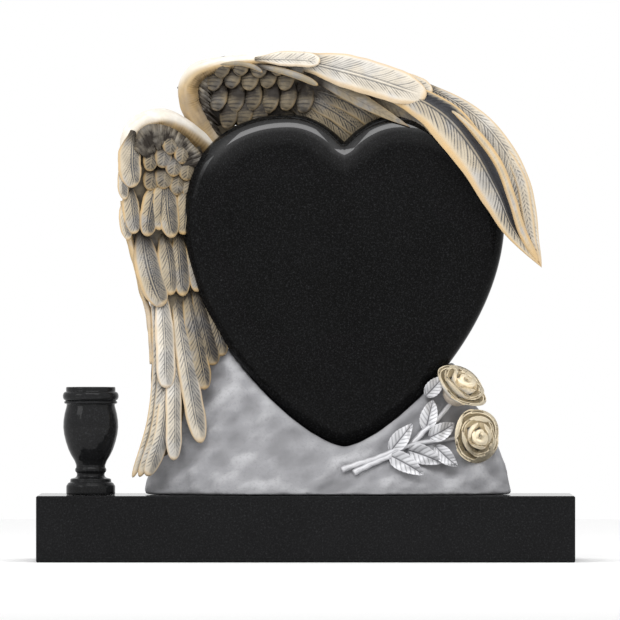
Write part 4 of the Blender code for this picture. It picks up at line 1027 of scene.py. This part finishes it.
def addStem(piece, points):
    # a thin tube on the rock, tapering along it, its radius waving by 6 per cent
    look = sprayFine
    path = np.array([onRock(x, z, look["stem"] * look["stemLift"]) for x, z in points])
    t, line, along, length = bladePath(path, 50)
    side = unit(np.cross(along, front))[:, None]
    out = np.cross(side[:, 0], along)[:, None]
    a = np.linspace(0, 2 * math.pi, 16, endpoint=False)[None, :]
    r = look["stem"] * (1.15 - 0.35 * t[:, None]) * (1 + 0.06 * np.sin(length[:, None] * 300 + a * 2))
    rings = line[:, None] + side * (np.cos(a) * r)[..., None] + out * (np.sin(a) * r)[..., None]
    # painted highlight on one side of the stem and painted shade on the other
    piece.add(rings, line[0], line[-1], rise=np.clip(0.75 + 0.3 * np.sin(a + 1) + 0 * r, 0, 1))


def makeSpray():
    # stems and leaves as one piece and the roses as another, all placed on the rock's skin
    look = sprayFine
    leaves = Piece("spray_leaves", ("rise",))
    for points in look["stems"]:
        addStem(leaves, points)
    rootLift, tipLift = look["leafLift"]
    for k, (root, tip, width) in enumerate(look["leaves"]):
        addLeaf(leaves, onRock(*root, rootLift), onRock(*tip, tipLift), width * heartTall, k)
    roses = Piece("spray_roses", ("rise", "rim"))
    for k, (place, off, way, radius) in enumerate(look["roses"]):
        addRose(roses, onRock(*place, off), way, radius, 200 + 50 * k)
    for obj in (leaves.make(silver), roses.make(cream)):
        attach(obj, "root")
        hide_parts("rose_spray")


# the vase


vaseLook = {  # radius and height of the turned profile, in shares of the vase's own box
    "outside": [(0.865, 0.000), (0.877, 0.010), (0.877, 0.075), (0.865, 0.088), (0.825, 0.100), (0.815, 0.108),
                (0.740, 0.118), (0.730, 0.128), (0.736, 0.140), (0.700, 0.150), (0.560, 0.160), (0.505, 0.172),
                (0.492, 0.190), (0.512, 0.206), (0.548, 0.214), (0.563, 0.230), (0.548, 0.246), (0.520, 0.254),
                (0.522, 0.275), (0.580, 0.315), (0.700, 0.366), (0.800, 0.420), (0.890, 0.490), (0.955, 0.560),
                (0.985, 0.625), (0.975, 0.690), (0.935, 0.755), (0.880, 0.808), (0.860, 0.830), (0.872, 0.842),
                (0.935, 0.846), (0.950, 0.853), (0.948, 0.866), (0.900, 0.872)],
    "ring": (0.90, 0.10, 0.915, 0.040),  # below the rim: radius, how far it bulges, height, half height
    "rim": [(0.885, 0.958), (0.885, 0.990), (0.875, 0.998), (0.860, 1.000), (0.730, 1.000), (0.700, 0.997),
            (0.640, 0.978), (0.638, 0.960), (0.638, 0.480), (0.620, 0.440), (0.560, 0.422), (0.300, 0.420)],
    "floor": 0.42, "rows": 260, "around": 96, "coat": 0.15,
}


def makeVase():
    # the profile turned round the vase's axis, from foot to rim and down into the bore
    look = vaseLook
    low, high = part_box("vase")
    tall = high[2] - low[2]
    wide = (high[0] - low[0]) / 2
    x, y = (low[0] + high[0]) / 2, (low[1] + high[1]) / 2
    reach, bulge, up, thick = look["ring"]
    turns = np.linspace(0.25, math.pi - 0.25, 12)
    ring = [(reach + bulge * math.sin(a), up - thick * math.cos(a)) for a in turns]
    line = resample(np.array(look["outside"] + ring + look["rim"]), look["rows"])
    a = np.linspace(0, 2 * math.pi, look["around"], endpoint=False)[None, :]
    r = line[:, 0][:, None] * wide
    z = low[2] + line[:, 1][:, None] * tall
    rings = np.stack([x + r * np.cos(a), y + r * np.sin(a), z + 0 * a], -1)
    piece = Piece("vase_turned", ("edge",))
    foot = np.array([x, y, low[2]])
    bore = np.array([x, y, low[2] + look["floor"] * tall])
    piece.add(rings, foot, bore, edge=look["coat"])
    obj = piece.make(litGranite)
    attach(obj, "root")
    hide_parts("vase")


makeHeart()
rockObject = makeRock()
bpy.context.view_layer.update()
makeSpray()
makeVase()
print("heart, rock, spray and vase made")


# stage


stageLook = {
    "floor": 4.0, "pale": rgb(0.92, 0.92, 0.92),
    "distance": 20.0, "wide": 1.043, "aimX": 0.0073, "aimZ": 0.4215,  # a far camera that sees 1.043 m across
    "lights": {  # place, aim, size and power
        "top": ((0.0, -1.7, 2.5), (0.0, 0.0, 0.6), (2.4, 1.4), 34),
        "left": ((-2.4, -1.6, 1.6), (0.0, 0.0, 0.4), (1.2, 1.2), 12)},
    "sky": (1, 1, 1, 1),
}


def makeStage():
    # a round pale floor just under the base
    angle = np.linspace(0, 2 * math.pi, 97)[:-1]
    verts = np.stack([np.cos(angle), np.sin(angle), 0 * angle], -1) * stageLook["floor"]
    mesh = bpy.data.meshes.new("floor")
    mesh.from_pydata(verts.tolist(), [], [list(range(len(verts)))])
    floor = bpy.data.objects.new("floor", mesh)
    bpy.context.scene.collection.objects.link(floor)
    t = Tree("floor_pale")
    t.set(colour=stageLook["pale"], rough=0.9, specular=0.1)
    mesh.materials.append(t.mat)


def addLight(name, place, aim, size, power):
    # a rectangular lamp turned towards the point it lights
    data = bpy.data.lights.new(name, "AREA")
    data.shape = "RECTANGLE"
    data.size, data.size_y = size
    data.energy = power
    lamp = bpy.data.objects.new(name, data)
    bpy.context.scene.collection.objects.link(lamp)
    lamp.location = place
    lamp.rotation_euler = (Vector(aim) - Vector(place)).to_track_quat("-Z", "Y").to_euler()


def makeCamera():
    # straight from the front, from so far away that the view is nearly flat
    data = bpy.data.cameras.new("camera")
    data.lens = data.sensor_width * stageLook["distance"] / stageLook["wide"]
    data.clip_end = 100.0
    camera = bpy.data.objects.new("camera", data)
    bpy.context.scene.collection.objects.link(camera)
    camera.location = (stageLook["aimX"], -stageLook["distance"], stageLook["aimZ"])
    camera.rotation_euler = (math.pi / 2, 0, 0)
    bpy.context.scene.camera = camera


def makeWorld():
    # an even white sky
    world = bpy.data.worlds.new("studio")
    bpy.context.scene.world = world
    world.use_nodes = True
    sky = world.node_tree.nodes["Background"]
    sky.inputs["Color"].default_value = stageLook["sky"]
    sky.inputs["Strength"].default_value = 1.0


makeStage()
makeCamera()
bpy.context.scene.view_settings.view_transform = "Standard"
for name, (place, aim, size, power) in stageLook["lights"].items():
    addLight(name, place, aim, size, power)
makeWorld()
print("stage made")
